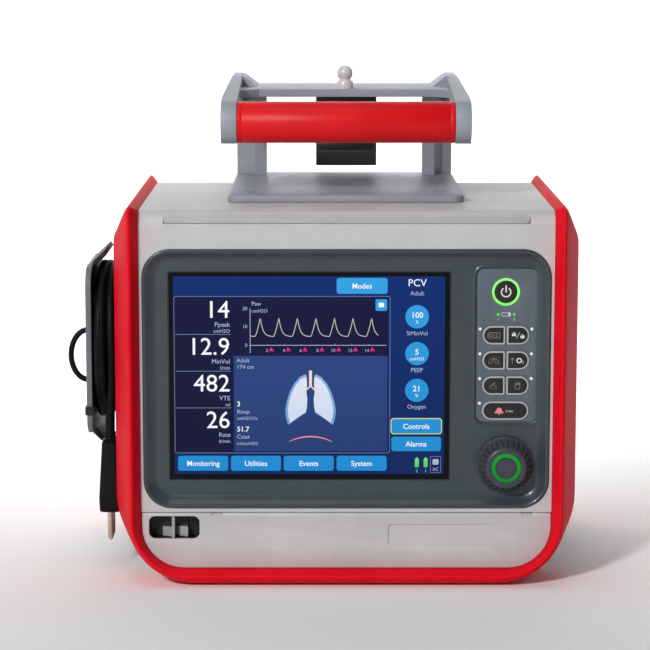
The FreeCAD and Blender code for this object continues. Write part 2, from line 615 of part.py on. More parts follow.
insideTube = tube("case_half-16", "inspired_y", "port_z", "port_radius", "7.5", "port_reach-case_half+16",
                  "X")
insideFlange = tube("case_half+wall", "inspired_y", "port_z", "16", "7.5", "3", "X")
keep("inspiratory_port", fuse(insideTube, insideFlange))
valveTube = tube("case_half-20", "expired_y", "port_z", "port_radius+1.8", "port_radius",
                 "port_reach-case_half+20", "X")
valveEnd = rod("case_half-24", "expired_y", "port_z", "port_radius+1.8", "5", "X")
keep("expiratory_valve", fuse(valveTube, valveEnd))
coverRing = tube("case_half+wall+0.4", "expired_y", "port_z", "19", "port_radius+1.9", "7", "X")
coverEars = [block(("case_half+wall+0.4", "case_half+wall+7.4"), ("expired_y-3", "expired_y+3"), span)
             for span in (("port_z+17", "port_z+22"), ("port_z-22", "port_z-17"))]
keep("expiratory_lock_ring", fuse(coverRing, *coverEars))
sensorBase = block(("case_half+wall", "case_half+wall+3"), ("-55", "-43"), ("66", "104"))
sensorNipples = [tube("case_half+wall+3", "-49", z, "2.4", "1.2", "8", "X") for z in ("76", "94")]
keep("flow_sensor_ports", fuse(sensorBase, *sensorNipples))
keep("oxygen_inlet", fuse(tube("case_half+wall", "44", "60", "8", "4", "11", "X"),
                          tube("case_half+wall", "44", "60", "11", "4", "4", "X")))


# Mains inlet, connector and lead

inletFlange = block(("-case_half-wall-1.6", "-case_half-wall"), ("inlet_y-25", "inlet_y+25"),
                    ("inlet_z-inlet_tall/2-3", "inlet_z+inlet_tall/2+3"))
inletBody = block(("-case_half-wall", "-case_half+20"),
                  ("inlet_y-inlet_wide/2-1.2", "inlet_y+inlet_wide/2+1.2"),
                  ("inlet_z-inlet_tall/2-1.2", "inlet_z+inlet_tall/2+1.2"))
inletWell = block(("-case_half-wall-2", "-case_half+14"),
                  ("inlet_y-inlet_wide/2+1", "inlet_y+inlet_wide/2-1"),
                  ("inlet_z-inlet_tall/2+1", "inlet_z+inlet_tall/2-1"))
keep("ac_inlet", cut(fuse(inletFlange, inletBody), inletWell))
connectorNose = plate("side", ("inlet_y-inlet_wide/2+1.4", "inlet_y+inlet_wide/2-1.4"),
                      ("inlet_z-inlet_tall/2+1.4", "inlet_z+inlet_tall/2-1.4"), "2", "-case_half-wall-2",
                      "-case_half+12")
connectorBody = plate("side", ("inlet_y-13", "inlet_y+13"), ("inlet_z-14", "inlet_z+12"), "4",
                      "-case_half-21", "-case_half-wall-2")
connectorRelief = taper("-case_half-12", "inlet_y", "inlet_z+11", "6", "lead_dia/2+0.6", "24", "Z")
keep("ac_connector", fuse(connectorNose, connectorBody, connectorRelief))


def coilSolid():
    """The wound lead as one ring: a rounded oblong with a hole for the holder's core."""
    half, low, high, deep = size("coil_half"), size("coil_low"), size("coil_high"), size("coil_depth")
    corner, x0, x1 = size("coil_corner"), size("coil_out"), size("coil_in")
    rings = []
    for inset in (0, deep):
        ring = roundedRing(-half + inset, half - inset, low + inset, high - inset, corner - inset, 0)
        ring.rotate(Vector(), Vector(0, 0, 1), 90)
        rings.append(Part.Face(ring.translated(Vector(x0, 0, 0))).extrude(Vector(x1 - x0, 0, 0)))
    ring = rings[0].cut(rings[1])
    return ring.makeFillet(5, [e for e in ring.Edges if abs(e.BoundBox.XLength) < 0.01])


keep("cord_coil", feature(coilSolid()))
cordTube("cord_lead_in", [(-140.2, 30, 85), (-140.2, 30, 91), (-142.5, 34, 97)], size("lead_dia"))
leadOut = [(-149.5, -45, 118), (-150.6, -44.6, 107.5), (-151.4, -44, 97.5), (-151.4, -44, 87)]
cordTube("cord_lead_out", leadOut, size("lead_dia"))


def makePlug():
    """A flat plug that widens from its strain relief to its face."""
    x, y, low, high = size("lead_x"), size("lead_y"), size("plug_low"), size("plug_high")
    collar = 6
    rings = []
    for z, wide, deep, corner in ((high - collar, 10.6, 15, 4.5), (low + 9, 14.6, 21, 5), (low, 14, 20.4, 5)):
        ring = roundedRing(-wide / 2, wide / 2, -deep / 2, deep / 2, corner, 0)
        ring.rotate(Vector(), Vector(1, 0, 0), 90)
        rings.append(ring.translated(Vector(x, y, z)))
    relief = Part.makeCone(4.4, size("lead_dia") / 2 + 0.5, collar, Vector(x, y, high - collar))
    return Part.makeLoft(rings, True, True).fuse(relief)


keep("plug_body", feature(makePlug()))
keep("plug_pins", fuse(*[rod("lead_x", f"lead_y{dy}", "plug_low-19", "2", "19") for dy in ("-6", "+6")]))

# Lead holder: an outer plate on a core, with the rubber keeper

holderPlate = plate("side", ("-45", "45"), ("84", "193"), "14", "-166.3", "-162.4")
holderCore = cut(plate("side", ("-36", "36"), ("105", "179"), "24", "-162.4", "-case_half-wall"),
                 plate("side", ("-32.5", "32.5"), ("108.5", "175.5"), "20.5", "-162.4", "-case_half-wall+1"))


def holderLips():
    """The plate's two ends, bent in over and under the wound lead."""
    upper = [(-166.3, -26, 188), (-162.4, -26, 191), (-153.6, -26, 199.4), (-155.4, -26, 202.2),
             (-166.3, -26, 191.6)]
    lower = [(-166.3, -26, 88.5), (-162.4, -26, 86.5), (-156.5, -26, 79.5), (-158.6, -26, 77),
             (-166.3, -26, 84.5)]
    return prism(upper, (0, 52, 0)).multiFuse([prism(lower, (0, 52, 0))])


keep("cord_holder", fuse(holderPlate, holderCore, feature(holderLips())))
loopRoute = [(-166.3, -42.8, 153), (-170.6, -42.8, 153), (-175.4, -43.4, 146.5), (-176.2, -43.6, 136),
             (-171.8, -42.8, 121), (-166.3, -42.8, 121)]
cordTube("retaining_loop", loopRoute, 3.6)


# Handle

basePlate = plate("top", ("-plate_half", "plate_half"), ("plate_front", "handle_back"), "8", "case_top",
                  "case_top+plate_thick")
plateHoles = [rod(x, y, "case_top-1", "3.2", "plate_thick+2") for x, y in
              (("-61", "-24"), ("61", "-24"), ("-35", "82.5"), ("35", "82.5"))]
keep("handle_base_plate", cut(basePlate, *plateHoles))


def makeHandleFrame():
    """Two faceted posts, the deck between them and two arms that reach forward to the grip."""
    floor, low, high = size("case_top") + size("plate_thick"), size("deck_low"), size("deck_high")
    back, inner, outer = size("handle_back"), size("arm_in"), size("arm_out")
    gripY, gripZ, radius = size("grip_y"), size("grip_z"), size("grip_radius") + 0.5
    post = prism([(53, 86, floor), (61.5, 86, floor), (67, 97, floor), (74, 100, floor), (74, back, floor),
                  (56, back, floor)], (0, 0, high - floor))
    deck = box(0, inner + 0.5, size("deck_front"), back, low, high)
    arm = [(inner, back, 309), (inner, 70, 308), (inner, gripY, gripZ + radius),
           (inner, gripY, gripZ - radius), (inner, 60, low - 6), (inner, back, low - 8)]
    neck = prism(arm, (outer - inner, 0, 0))
    nose = cylinder(inner, gripY, gripZ, radius, outer - inner, (1, 0, 0))
    web = prism([(inner - 12, size("deck_front"), low), (inner + 1, size("deck_front"), low),
                 (inner + 1, size("deck_front") - 14, low)], (0, 0, high - low))
    taper = prism([(outer, gripY + 20, 240), (outer + 1, gripY + 20, 240), (outer + 1, back + 1, 240),
                   (outer - 3.6, back + 1, 240)], (0, 0, 90))
    slope = [(inner + 1, 66, 308.6), (inner - 1.5, 66, 308.2), (inner - 13, 66, low + 3),
             (inner + 1, 66, low + 3)]
    gusset = prism(slope, (0, back - 66, 0))
    right = post.multiFuse([deck, neck, nose, web, gusset]).cut(taper)
    return right.fuse(mirrored(right)).removeSplitter()


keep("handle_frame", feature(makeHandleFrame()))
gripBar = rod("-arm_in", "grip_y", "grip_z", "grip_radius", "2*arm_in", "X")
keep("handle_grip", gripBar)


def makeHook():
    """A hanging block with a hollowed front for a bed rail."""
    solid = box(-19.5, 22, 92, size("handle_back"), 246, size("deck_low"))
    return solid.cut(cylinder(-20, 84, 268, 14, 43, (1, 0, 0)))


keep("bed_rail_hook", feature(makeHook()))
keep("ball_stud", fuse(rod("0", "stud_y", "deck_high", "5.5", "6"), feature(
    Part.makeSphere(size("ball_radius"), Vector(0, size("stud_y"), size("deck_high") + 10.4)))))

screws = [fuse(rod(x, y, "case_top+plate_thick-2.4", "3.1", "2.2"), rod(x, y, "case_top-6", "1.8", "9"))
          for x, y in (("-61", "-24"), ("61", "-24"), ("-35", "82.5"), ("35", "82.5"))]
keep("handle_screws", fuse(*screws))


def export():
    doc.recompute()
    for thing in doc.Objects:
        if {"Invalid", "Error"} & set(thing.State):
            raise RuntimeError(f"{thing.Label} did not recompute: {thing.State}")
    for label, thing in pieces.items():
        if thing.Shape.isNull() or not thing.Shape.isValid():
            raise RuntimeError(f"{label} has no valid shape")
    os.makedirs("parts", exist_ok=True)
    for label, thing in pieces.items():
        thing.Shape.exportStep(f"parts/{label}.step")
    print(len(pieces), "pieces")


export()
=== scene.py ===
import json
import math

import bmesh
import bpy
import numpy as np
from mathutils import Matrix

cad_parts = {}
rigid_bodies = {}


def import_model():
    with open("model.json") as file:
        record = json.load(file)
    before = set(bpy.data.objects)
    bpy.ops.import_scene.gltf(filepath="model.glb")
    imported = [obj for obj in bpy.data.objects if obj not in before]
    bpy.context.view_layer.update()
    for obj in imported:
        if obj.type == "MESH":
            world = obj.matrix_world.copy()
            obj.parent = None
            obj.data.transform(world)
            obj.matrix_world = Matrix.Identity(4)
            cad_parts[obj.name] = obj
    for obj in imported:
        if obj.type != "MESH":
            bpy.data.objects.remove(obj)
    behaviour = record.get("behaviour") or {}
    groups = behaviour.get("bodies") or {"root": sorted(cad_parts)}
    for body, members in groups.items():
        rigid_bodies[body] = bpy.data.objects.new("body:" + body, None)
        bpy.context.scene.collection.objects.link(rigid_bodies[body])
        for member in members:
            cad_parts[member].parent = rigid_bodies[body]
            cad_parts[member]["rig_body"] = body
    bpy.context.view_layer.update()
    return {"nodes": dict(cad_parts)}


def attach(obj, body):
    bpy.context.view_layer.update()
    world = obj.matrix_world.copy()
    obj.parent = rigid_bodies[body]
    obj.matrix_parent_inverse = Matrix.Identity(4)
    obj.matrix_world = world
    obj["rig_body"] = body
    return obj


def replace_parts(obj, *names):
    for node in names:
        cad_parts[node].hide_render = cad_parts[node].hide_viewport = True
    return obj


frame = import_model()

mm = 0.001
nodes = frame["nodes"]
scene = bpy.context.scene


# Materials

def tone(r, g, b):
    # screen colour, 0 to 255 a channel, to the linear light that a shader takes
    part = np.array([r, g, b]) / 255
    linear = np.where(part <= 0.04045, part / 12.92, ((part + 0.055) / 1.055) ** 2.4)
    return (*linear.tolist(), 1.0)


def addNode(tree, kind, inputs=None, **settings):
    made = tree.nodes.new(kind)
    for key, value in settings.items():
        setattr(made, key, value)
    for key, value in (inputs or {}).items():
        if isinstance(value, bpy.types.NodeSocket):
            tree.links.new(value, made.inputs[key])
        else:
            made.inputs[key].default_value = value
    return made


def mixTones(tree, factor, first, second):
    # inputs 0, 6 and 7 of a colour mix are its factor and its two colours
    return addNode(tree, "ShaderNodeMix", {0: factor, 6: first, 7: second}, data_type="RGBA").outputs[2]


def rangeOf(tree, value, low, high, start=0.0, end=1.0):
    return addNode(tree, "ShaderNodeMapRange", {0: value, 1: start, 2: end, 3: low, 4: high}).outputs[0]


def mould(base, shade, rough, spread=0.1, grain=1500, relief=0.1, cloud=35, metal=0.0, coat=0.0,
          gloss=0.5, edge=None, bump=None):
    # base drifts to shade in soft clouds; a fine grain gives the relief and breaks up the shine
    made = bpy.data.materials.new("mould")
    made.use_nodes = True
    tree = made.node_tree
    shader = tree.nodes["Principled BSDF"]
    place = addNode(tree, "ShaderNodeTexCoord").outputs["Object"]
    broad = addNode(tree, "ShaderNodeTexNoise", {"Vector": place, "Scale": cloud, "Detail": 5.0}).outputs[0]
    fine = addNode(tree, "ShaderNodeTexNoise", {"Vector": place, "Scale": grain, "Detail": 2.0}).outputs[0]
    colour = mixTones(tree, rangeOf(tree, broad, 0.0, 1.0, 0.35, 0.65), tone(*base), tone(*shade))
    if edge:
        # paler where the surface turns sharply: partly edge wear, partly a painted highlight on ridges and
        # edges
        turn = addNode(tree, "ShaderNodeNewGeometry").outputs["Pointiness"]
        colour = mixTones(tree, rangeOf(tree, turn, 0.0, 0.6, 0.52, 0.62), colour, tone(*edge))
    tree.links.new(colour, shader.inputs["Base Color"])
    tree.links.new(rangeOf(tree, fine, rough - spread, rough + spread, 0.3, 0.7), shader.inputs["Roughness"])
    height = bump(tree, place, fine) if bump else fine
    raised = addNode(tree, "ShaderNodeBump", {"Height": height, "Strength": relief, "Distance": 0.0004})
    tree.links.new(raised.outputs[0], shader.inputs["Normal"])
    shader.inputs["Metallic"].default_value = metal
    shader.inputs["Coat Weight"].default_value = coat
    shader.inputs["Coat Roughness"].default_value = 0.12
    shader.inputs["Specular IOR Level"].default_value = gloss
    return made


def lit(upper, lower, high, low, strength=1.0):
    # a display colour that fades from upper to lower between two heights, with a faint weave of dots; the
    # printed symbols use it too, as a painted glow
    made = bpy.data.materials.new("lit")
    made.use_nodes = True
    tree = made.node_tree
    shader = tree.nodes["Principled BSDF"]
    place = addNode(tree, "ShaderNodeTexCoord").outputs["Object"]
    across = addNode(tree, "ShaderNodeSeparateXYZ", {0: place})
    height = rangeOf(tree, across.outputs["Z"], 1.0, 0.0, low * mm, high * mm)
    weave = addNode(tree, "ShaderNodeTexChecker", {"Vector": place, "Scale": 3600.0}).outputs["Fac"]
    faded = mixTones(tree, height, tone(*upper), tone(*lower))
    colour = mixTones(tree, rangeOf(tree, weave, 0.0, 0.06), faded, tone(0, 0, 0))
    tree.links.new(colour, shader.inputs["Emission Color"])
    shader.inputs["Emission Strength"].default_value = strength
    shader.inputs["Base Color"].default_value = tone(6, 8, 14)
    shader.inputs["Roughness"].default_value = 0.3
    shader.inputs["Specular IOR Level"].default_value = 0.12
    return made


def brushed(tree, place, fine):
    # fine lines along X, which take the place of the grain
    squeezed = addNode(tree, "ShaderNodeMapping", {0: place, 3: (40.0, 2600.0, 2600.0)}).outputs[0]
    return addNode(tree, "ShaderNodeTexNoise", {"Vector": squeezed, "Scale": 1.0, "Detail": 2.0}).outputs[0]


def leathery(tree, place, fine):
    # the pebbled texture of a moulded case: small cells with soft valleys
    cells = addNode(tree, "ShaderNodeTexVoronoi", {"Vector": place, "Scale": 1300.0}, feature="SMOOTH_F1")
    both = {0: cells.outputs["Distance"], 1: fine}
    return addNode(tree, "ShaderNodeMath", both, operation="ADD").outputs[0]


finishes = {
    "caseGrey": mould((203, 202, 202), (196, 195, 196), 0.5, relief=0.1, bump=leathery),
    "doorGrey": mould((203, 202, 202), (196, 195, 196), 0.5, relief=0.1, bump=leathery),
    "latchGrey": mould((168, 168, 168), (160, 160, 160), 0.5, relief=0.1, bump=leathery),
    "darkPlastic": mould((52, 54, 57), (44, 46, 49), 0.5),
    # the bumper's paler edge colour is partly wear, partly a painted highlight on its ridges
    "bumperRed": mould((236, 18, 40), (228, 14, 34), 0.5, 0.08, relief=0.06, gloss=0.03,
                       edge=(240, 34, 48)),
    "bezelGrey": mould((54, 66, 72), (49, 61, 67), 0.36, 0.06, relief=0.05, coat=0.3),
    "keypadGrey": mould((96, 107, 119), (90, 101, 113), 0.5, relief=0.05),
    "keyBlack": mould((30, 29, 27), (25, 24, 23), 0.4, relief=0.04),
    "rimGrey": mould((190, 191, 194), (180, 181, 184), 0.4),
    "lampLens": mould((186, 186, 187), (178, 178, 180), 0.25, 0.05, coat=0.5),
    "screenGlass": mould((6, 8, 16), (4, 6, 12), 0.12, 0.03, relief=0.01, coat=0.6),
    "knobGrey": mould((62, 68, 76), (54, 60, 68), 0.36, relief=0.06),
    "knobFace": mould((66, 66, 80), (58, 58, 72), 0.4, relief=0.06),
    # the handle's paler edge colour is partly wear, partly a painted highlight along its edges
    "handleGrey": mould((156, 161, 172), (148, 153, 164), 0.48, relief=0.16, bump=leathery,
                        edge=(178, 182, 192)),
    "gripRed": mould((228, 14, 22), (218, 12, 20), 0.42, 0.05, relief=0.05, gloss=0.25),
    "hookBlack": mould((40, 40, 41), (34, 34, 35), 0.42),
    "studWhite": mould((226, 226, 224), (214, 214, 213), 0.22, 0.06, coat=0.3),
    "cordRubber": mould((12, 12, 13), (8, 8, 9), 0.5, 0.08, relief=0.08, gloss=0.15),
    "plugRubber": mould((16, 16, 17), (12, 12, 13), 0.5, 0.08, relief=0.1, gloss=0.15),
    "pinBrass": mould((212, 205, 192), (190, 176, 158), 0.28, 0.06, metal=1.0, bump=brushed),
    "holderGrey": mould((112, 117, 126), (104, 109, 118), 0.5),
    "clipBlack": mould((14, 14, 15), (10, 10, 11), 0.45),
    # the screws and their cups are dark so the countersunk holes read dark: painted shade inside the holes
    "screwBlack": mould((20, 20, 22), (14, 14, 16), 0.4),
    "steel": mould((176, 178, 182), (160, 162, 166), 0.32, 0.08, metal=1.0, bump=brushed),
    "chrome": mould((214, 216, 220), (204, 206, 211), 0.14, 0.04, metal=1.0, relief=0.02),
    "aluminium": mould((188, 190, 193), (174, 176, 180), 0.36, 0.08, metal=1.0, bump=brushed),
    "boardGreen": mould((22, 88, 58), (16, 74, 48), 0.35, cloud=180),
    "batteryCase": mould((58, 60, 66), (50, 52, 58), 0.5),
    "whitePlastic": mould((222, 224, 224), (214, 216, 216), 0.4),
    "lockBlue": mould((32, 96, 178), (26, 86, 164), 0.36),
    "filterFoam": mould((60, 64, 68), (40, 43, 46), 0.95, 0.04, grain=700, relief=0.9),
    "ledGreen": lit((96, 232, 84), (70, 214, 60), 190, 160, 1.1),
    "ringGreen": lit((150, 246, 130), (120, 232, 96), 194, 174, 1.3),
    "knobGreen": lit((16, 172, 44), (10, 134, 32), 88, 64, 0.9),
    "ledWhite": lit((236, 240, 244), (226, 230, 234), 170, 100, 1.0),
    # printed symbols are given emission like the display: a painted glow, since they are no lamps
    "inkWhite": lit((236, 238, 240), (228, 230, 232), 200, 60, 0.85),
    "inkGrey": lit((150, 148, 142), (140, 138, 132), 200, 60, 0.8),
    "inkPink": lit((246, 150, 160), (236, 130, 142), 200, 60, 0.9),
    "screenBlack": lit((2, 3, 8), (2, 3, 8), 200, 60),
    "screenBlue": lit((8, 44, 112), (9, 36, 92), 194, 70),
    "screenNavy": lit((18, 18, 60), (12, 15, 52), 181, 84),
    "screenPanel": lit((42, 68, 128), (36, 60, 116), 144, 84),
    "screenLine": lit((118, 134, 172), (118, 134, 172), 181, 84),
    "screenButton": lit((52, 164, 228), (24, 136, 208), 200, 60),
    "screenYellow": lit((214, 222, 120), (204, 212, 110), 105, 95),
    "screenWhite": lit((246, 249, 252), (240, 244, 250), 196, 66, 1.05),
    "screenPale": lit((176, 190, 216), (168, 184, 212), 196, 66),
    "screenWave": lit((206, 206, 190), (196, 196, 180), 181, 145),
    "screenMagenta": lit((236, 40, 150), (226, 30, 140), 152, 146),
    "lungFill": lit((224, 232, 246), (206, 218, 238), 132, 100),
    "lungHalo": lit((128, 172, 220), (112, 158, 210), 132, 100),
    "lungAirway": lit((246, 224, 222), (240, 206, 200), 136, 116),
    "lungArc": lit((240, 150, 150), (232, 128, 128), 96, 88),
    "screenGreen": lit((120, 226, 130), (84, 200, 96), 80, 74),
}
for finishName, finish in finishes.items():
    finish.name = finishName


def darkenPast(finish, axis, start, end, inner):
    # between two levels of one axis, in millimetres, the colour turns to the dark of an unlit recess
    tree = finishes[finish].node_tree
    base = tree.nodes["Principled BSDF"].inputs["Base Color"]
    outer = base.links[0].from_socket
    place = addNode(tree, "ShaderNodeTexCoord").outputs["Object"]
    level = addNode(tree, "ShaderNodeSeparateXYZ", {0: place}).outputs[axis]
    dark = rangeOf(tree, level, 0.0, 1.0, start * mm, end * mm)
    tree.links.new(mixTones(tree, dark, outer, tone(*inner)), base)


darkenPast("holderGrey", "X", -162.85, -162.55, (10, 10, 11))
darkenPast("doorGrey", "Y", -93.7, -92.4, (14, 14, 14))
darkenPast("latchGrey", "Y", -88.2, -86.9, (14, 14, 14))

nodeFinishes = {
    "caseGrey": ["front_housing", "rear_housing", "side_panel_left", "side_panel_right", "filter_cover"],
    "doorGrey": ["battery_door"],
    "latchGrey": ["door_latch"],
    "darkPlastic": ["bottom_cover", "fan_frame", "fan_rotor", "display_module", "encoder", "ac_inlet",
                    "expiratory_valve", "flow_sensor_ports", "power_supply"],
    "bumperRed": ["front_bumper", "rear_bumper"],
    "bezelGrey": ["bezel"],
    "lampLens": ["alarm_lamp"],
    "screenGlass": ["touch_glass"],
    "keypadGrey": ["keypad_panel"],
    "keyBlack": ["power_button", "key_day_night", "key_screen_lock", "key_manual_breath", "key_oxygen_boost",
                 "key_nebuliser", "key_suction", "key_alarm_silence"],
    "ringGreen": ["power_light_ring"],
    "knobGrey": ["knob"],
    "steel": ["encoder_sleeve", "door_hinge_pins"],
    "screwBlack": ["handle_screws"],
    "batteryCase": ["battery_1", "battery_2"],
    "aluminium": ["chassis", "blower_housing", "gas_mixer"],
    "boardGreen": ["main_board"],
    "whitePlastic": ["blower_impeller", "oxygen_cell", "inspiratory_port"],
    "lockBlue": ["expiratory_lock_ring"],
    "filterFoam": ["air_filter"],
    "chrome": ["oxygen_inlet"],
    "cordRubber": ["ac_connector", "cord_coil", "cord_lead_in", "cord_lead_out", "retaining_loop"],
    "plugRubber": ["plug_body"],
    "pinBrass": ["plug_pins"],
    "holderGrey": ["cord_holder"],
    "handleGrey": ["handle_base_plate", "handle_frame"],
    "gripRed": ["handle_grip"],
    "hookBlack": ["bed_rail_hook"],
    "studWhite": ["ball_stud"],
}
for finishName, members in nodeFinishes.items():
    for member in members:
        nodes[member].data.materials.clear()
        nodes[member].data.materials.append(finishes[finishName])
print("materials ready:", len(finishes))


# Building meshes from arrays

def newPiece(name, points, faces, finish, body, sharp=35):
    # points in millimetres; normals are turned outwards and edges past the angle stay crisp
    mesh = bpy.data.meshes.new(name)
    mesh.from_pydata((np.asarray(points) * mm).tolist(), [], faces)
    shape = bmesh.new()
    shape.from_mesh(mesh)
    bmesh.ops.remove_doubles(shape, verts=shape.verts, dist=0.002 * mm)
    bmesh.ops.recalc_face_normals(shape, faces=shape.faces)
    shape.to_mesh(mesh)
    shape.free()
    mesh.shade_smooth()
    mesh.set_sharp_from_angle(angle=math.radians(sharp))
    mesh.materials.append(finishes[finish])
    piece = bpy.data.objects.new(name, mesh)
    scene.collection.objects.link(piece)
    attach(piece, body)
    return piece


def gridFaces(rows, columns, wrap=True):
    # quads between neighbouring rows; with wrap the last column joins the first
    r, c = np.meshgrid(np.arange(rows - 1), np.arange(columns if wrap else columns - 1), indexing="ij")
    after = (c + 1) % columns
    here, below = r * columns, (r + 1) * columns
    return np.stack([here + c, here + after, below + after, below + c], -1).reshape(-1, 4).tolist()


def stackedPiece(name, rings, finish, body, sharp=35, ring=False):
    # rings is rows x points x 3; each end is closed with one face, or with ring the last row meets the first
    rows, columns = rings.shape[:2]
    faces = gridFaces(rows, columns)
    c = np.arange(columns)
    last = (rows - 1) * columns
    if ring:
        after = (c + 1) % columns
        faces += np.stack([c, after, last + after, last + c], -1).tolist()
    else:
        faces += [c.tolist(), (last + c).tolist()]
    return newPiece(name, rings.reshape(-1, 3), faces, finish, body, sharp)


def turnedPiece(name, profile, centre, axis, finish, body, steps=64, sharp=35, ripple=None,
                ring=False):
    # profile (distance along the axis, radius) swept round it: radius * (cos t, sin t), with an optional
    # ripple that multiplies the radius by a function of the angle and the row
    profile = np.asarray(profile, float)
    angle = np.linspace(0, 2 * math.pi, steps, endpoint=False)
    along = np.repeat(profile[:, :1], steps, 1)
    radius = np.repeat(profile[:, 1:2], steps, 1)
    if ripple is not None:
        radius = radius * ripple(angle[None, :], np.arange(len(profile))[:, None])
    first, second = radius * np.cos(angle), radius * np.sin(angle)
    order = {"X": (along, first, second), "Y": (first, along, second), "Z": (first, second, along)}[axis]
    return stackedPiece(name, np.stack(order, -1) + np.asarray(centre, float), finish, body, sharp, ring)


def softEdges(node, width):
    # a merged copy of a frame node whose edges are rounded by a bevel
    source = nodes[node]
    shape = bmesh.new()
    shape.from_mesh(source.data)
    bmesh.ops.remove_doubles(shape, verts=shape.verts, dist=0.003 * mm)
    bmesh.ops.dissolve_limit(shape, angle_limit=math.radians(1), verts=shape.verts, edges=shape.edges)
    mesh = bpy.data.meshes.new(node + "_soft")
    shape.to_mesh(mesh)
    shape.free()
    mesh.shade_smooth()
    mesh.materials.clear()
    mesh.materials.append(source.data.materials[0])
    piece = bpy.data.objects.new(node + "_soft", mesh)
    scene.collection.objects.link(piece)
    bevel = piece.modifiers.new("edges", "BEVEL")
    bevel.width = width * mm
    bevel.segments = 3
    bevel.limit_method = "ANGLE"
    bevel.angle_limit = math.radians(28)
    bevel.harden_normals = True
    bevel.use_clamp_overlap = True
    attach(piece, source["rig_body"])
    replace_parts(piece, node)
    return piece


# Flat shapes that face the front: outlines are arrays of (x, z) in millimetres

def arcPoints(cx, cz, radius, start, end, steps):
    angle = np.radians(np.linspace(start, end, steps))
    return np.stack([cx + radius * np.cos(angle), cz + radius * np.sin(angle)], -1)


def roundRect(x0, x1, z0, z1, radius, steps=6, inner=None, square=None):
    # square names the side, "left" or "right", whose two corners take the inner radius
    left = inner if square == "left" else radius
    right = inner if square == "right" else radius
    return np.concatenate([arcPoints(x1 - right, z1 - right, right, 0, 90, steps),
                           arcPoints(x0 + left, z1 - left, left, 90, 180, steps),
                           arcPoints(x0 + left, z0 + left, left, 180, 270, steps),
                           arcPoints(x1 - right, z0 + right, right, 270, 360, steps)])


def strokeSides(points, width):
    # a line pushed to both sides along its normals, which average the runs that meet at each point
    points = np.asarray(points, float)
    run = np.diff(points, axis=0)
    run /= np.linalg.norm(run, axis=1, keepdims=True)
    run = np.concatenate([run[:1], run[:-1] + run[1:], run[-1:]])
    run /= np.linalg.norm(run, axis=1, keepdims=True)
    side = np.stack([-run[:, 1], run[:, 0]], -1) * width / 2
    return points + side, points - side


def standing(outline, y):
    # flat points put upright at one depth
    return np.stack([outline[:, 0], np.full(len(outline), y), outline[:, 1]], -1)


def squarish(wave, power):
    # a cosine or sine pushed out towards its corners by a power below one
    return np.sign(wave) * np.abs(wave) ** power


printed = {}
skinThick = 0.06


def printShape(outline, depth, finish, body="case", hole=None):
    # a thin closed tile with its front face at depth; hole is an inner outline of as many points
    count = len(outline)
    loops = [outline] if hole is None else [outline, hole]
    flat = np.concatenate(loops)
    front = standing(flat, depth)
    points = np.concatenate([front, front + (0, skinThick, 0)])
    back = len(flat)
    step = np.arange(count)
    after = (step + 1) % count
    if hole is None:
        faces = [step.tolist(), (back + step[::-1]).tolist()]
        faces += np.stack([step, after, back + after, back + step], -1).tolist()
    else:
        corners = [step, after, count + after, count + step]
        faces = np.stack(corners, -1).tolist() + (np.stack(corners[::-1], -1) + back).tolist()
        for base in (0, count):
            near, far = base + step, base + after
            faces += np.stack([near, far, back + far, back + near], -1).tolist()
    printed.setdefault((body, finish), []).append((points, faces))


def printStroke(points, width, depth, finish, body="case"):
    # a thin closed bar along a line: two sides in front, the same two behind, and quads between them
    one, other = strokeSides(points, width)
    count = len(one)
    corners = np.stack([one, other, other, one], 1)
    y = np.array([depth, depth, depth + skinThick, depth + skinThick])
    points = np.stack([corners[..., 0], np.broadcast_to(y, (count, 4)), corners[..., 1]], -1).reshape(-1, 3)
    last = 4 * (count - 1)
    faces = gridFaces(count, 4) + [[0, 1, 2, 3], [last, last + 3, last + 2, last + 1]]
    printed.setdefault((body, finish), []).append((points, faces))


def printWords(words, x, z, height, depth, finish, body="case", align="LEFT", bold=0.0):
    # letters of a given capital height on a base line
    curve = bpy.data.curves.new("words", "FONT")
    curve.body = words
    curve.size = height / 0.72
    curve.align_x = align
    curve.offset = bold
    curve.extrude = skinThick / 2
    curve.resolution_u = 3
    holder = bpy.data.objects.new("words", curve)
    scene.collection.objects.link(holder)
    mesh = bpy.data.meshes.new_from_object(holder)
    flat = np.empty(len(mesh.vertices) * 3)
    mesh.vertices.foreach_get("co", flat)
    flat = flat.reshape(-1, 3)
    points = np.stack([x + flat[:, 0], depth + skinThick / 2 - flat[:, 2], z + flat[:, 1]], -1)
    printed.setdefault((body, finish), []).append((points, [list(p.vertices) for p in mesh.polygons]))
    bpy.data.objects.remove(holder)
    bpy.data.curves.remove(curve)
    bpy.data.meshes.remove(mesh)


def finishPrints():
    for (body, finish), tiles in printed.items():
        points, faces, base = [], [], 0
        for tilePoints, tileFaces in tiles:
            points.append(tilePoints)
            faces += [[base + index for index in face] for face in tileFaces]
            base += len(tilePoints)
        newPiece(f"print_{body}_{finish}", np.concatenate(points), faces, finish, body)


# Camera, floor and light

camera = bpy.data.cameras.new("camera")
camera.lens = 135.7
camera.sensor_width = 36
cameraStand = bpy.data.objects.new("camera", camera)
cameraStand.location = (-0.01329, -1.59050, 0.40133)
cameraStand.rotation_euler = (math.radians(81), 0, 0)
scene.collection.objects.link(cameraStand)
scene.camera = cameraStand

studio = {"front": -3.0, "back": 1.6, "bend": 0.9, "half": 4.0, "wall": 3.4}


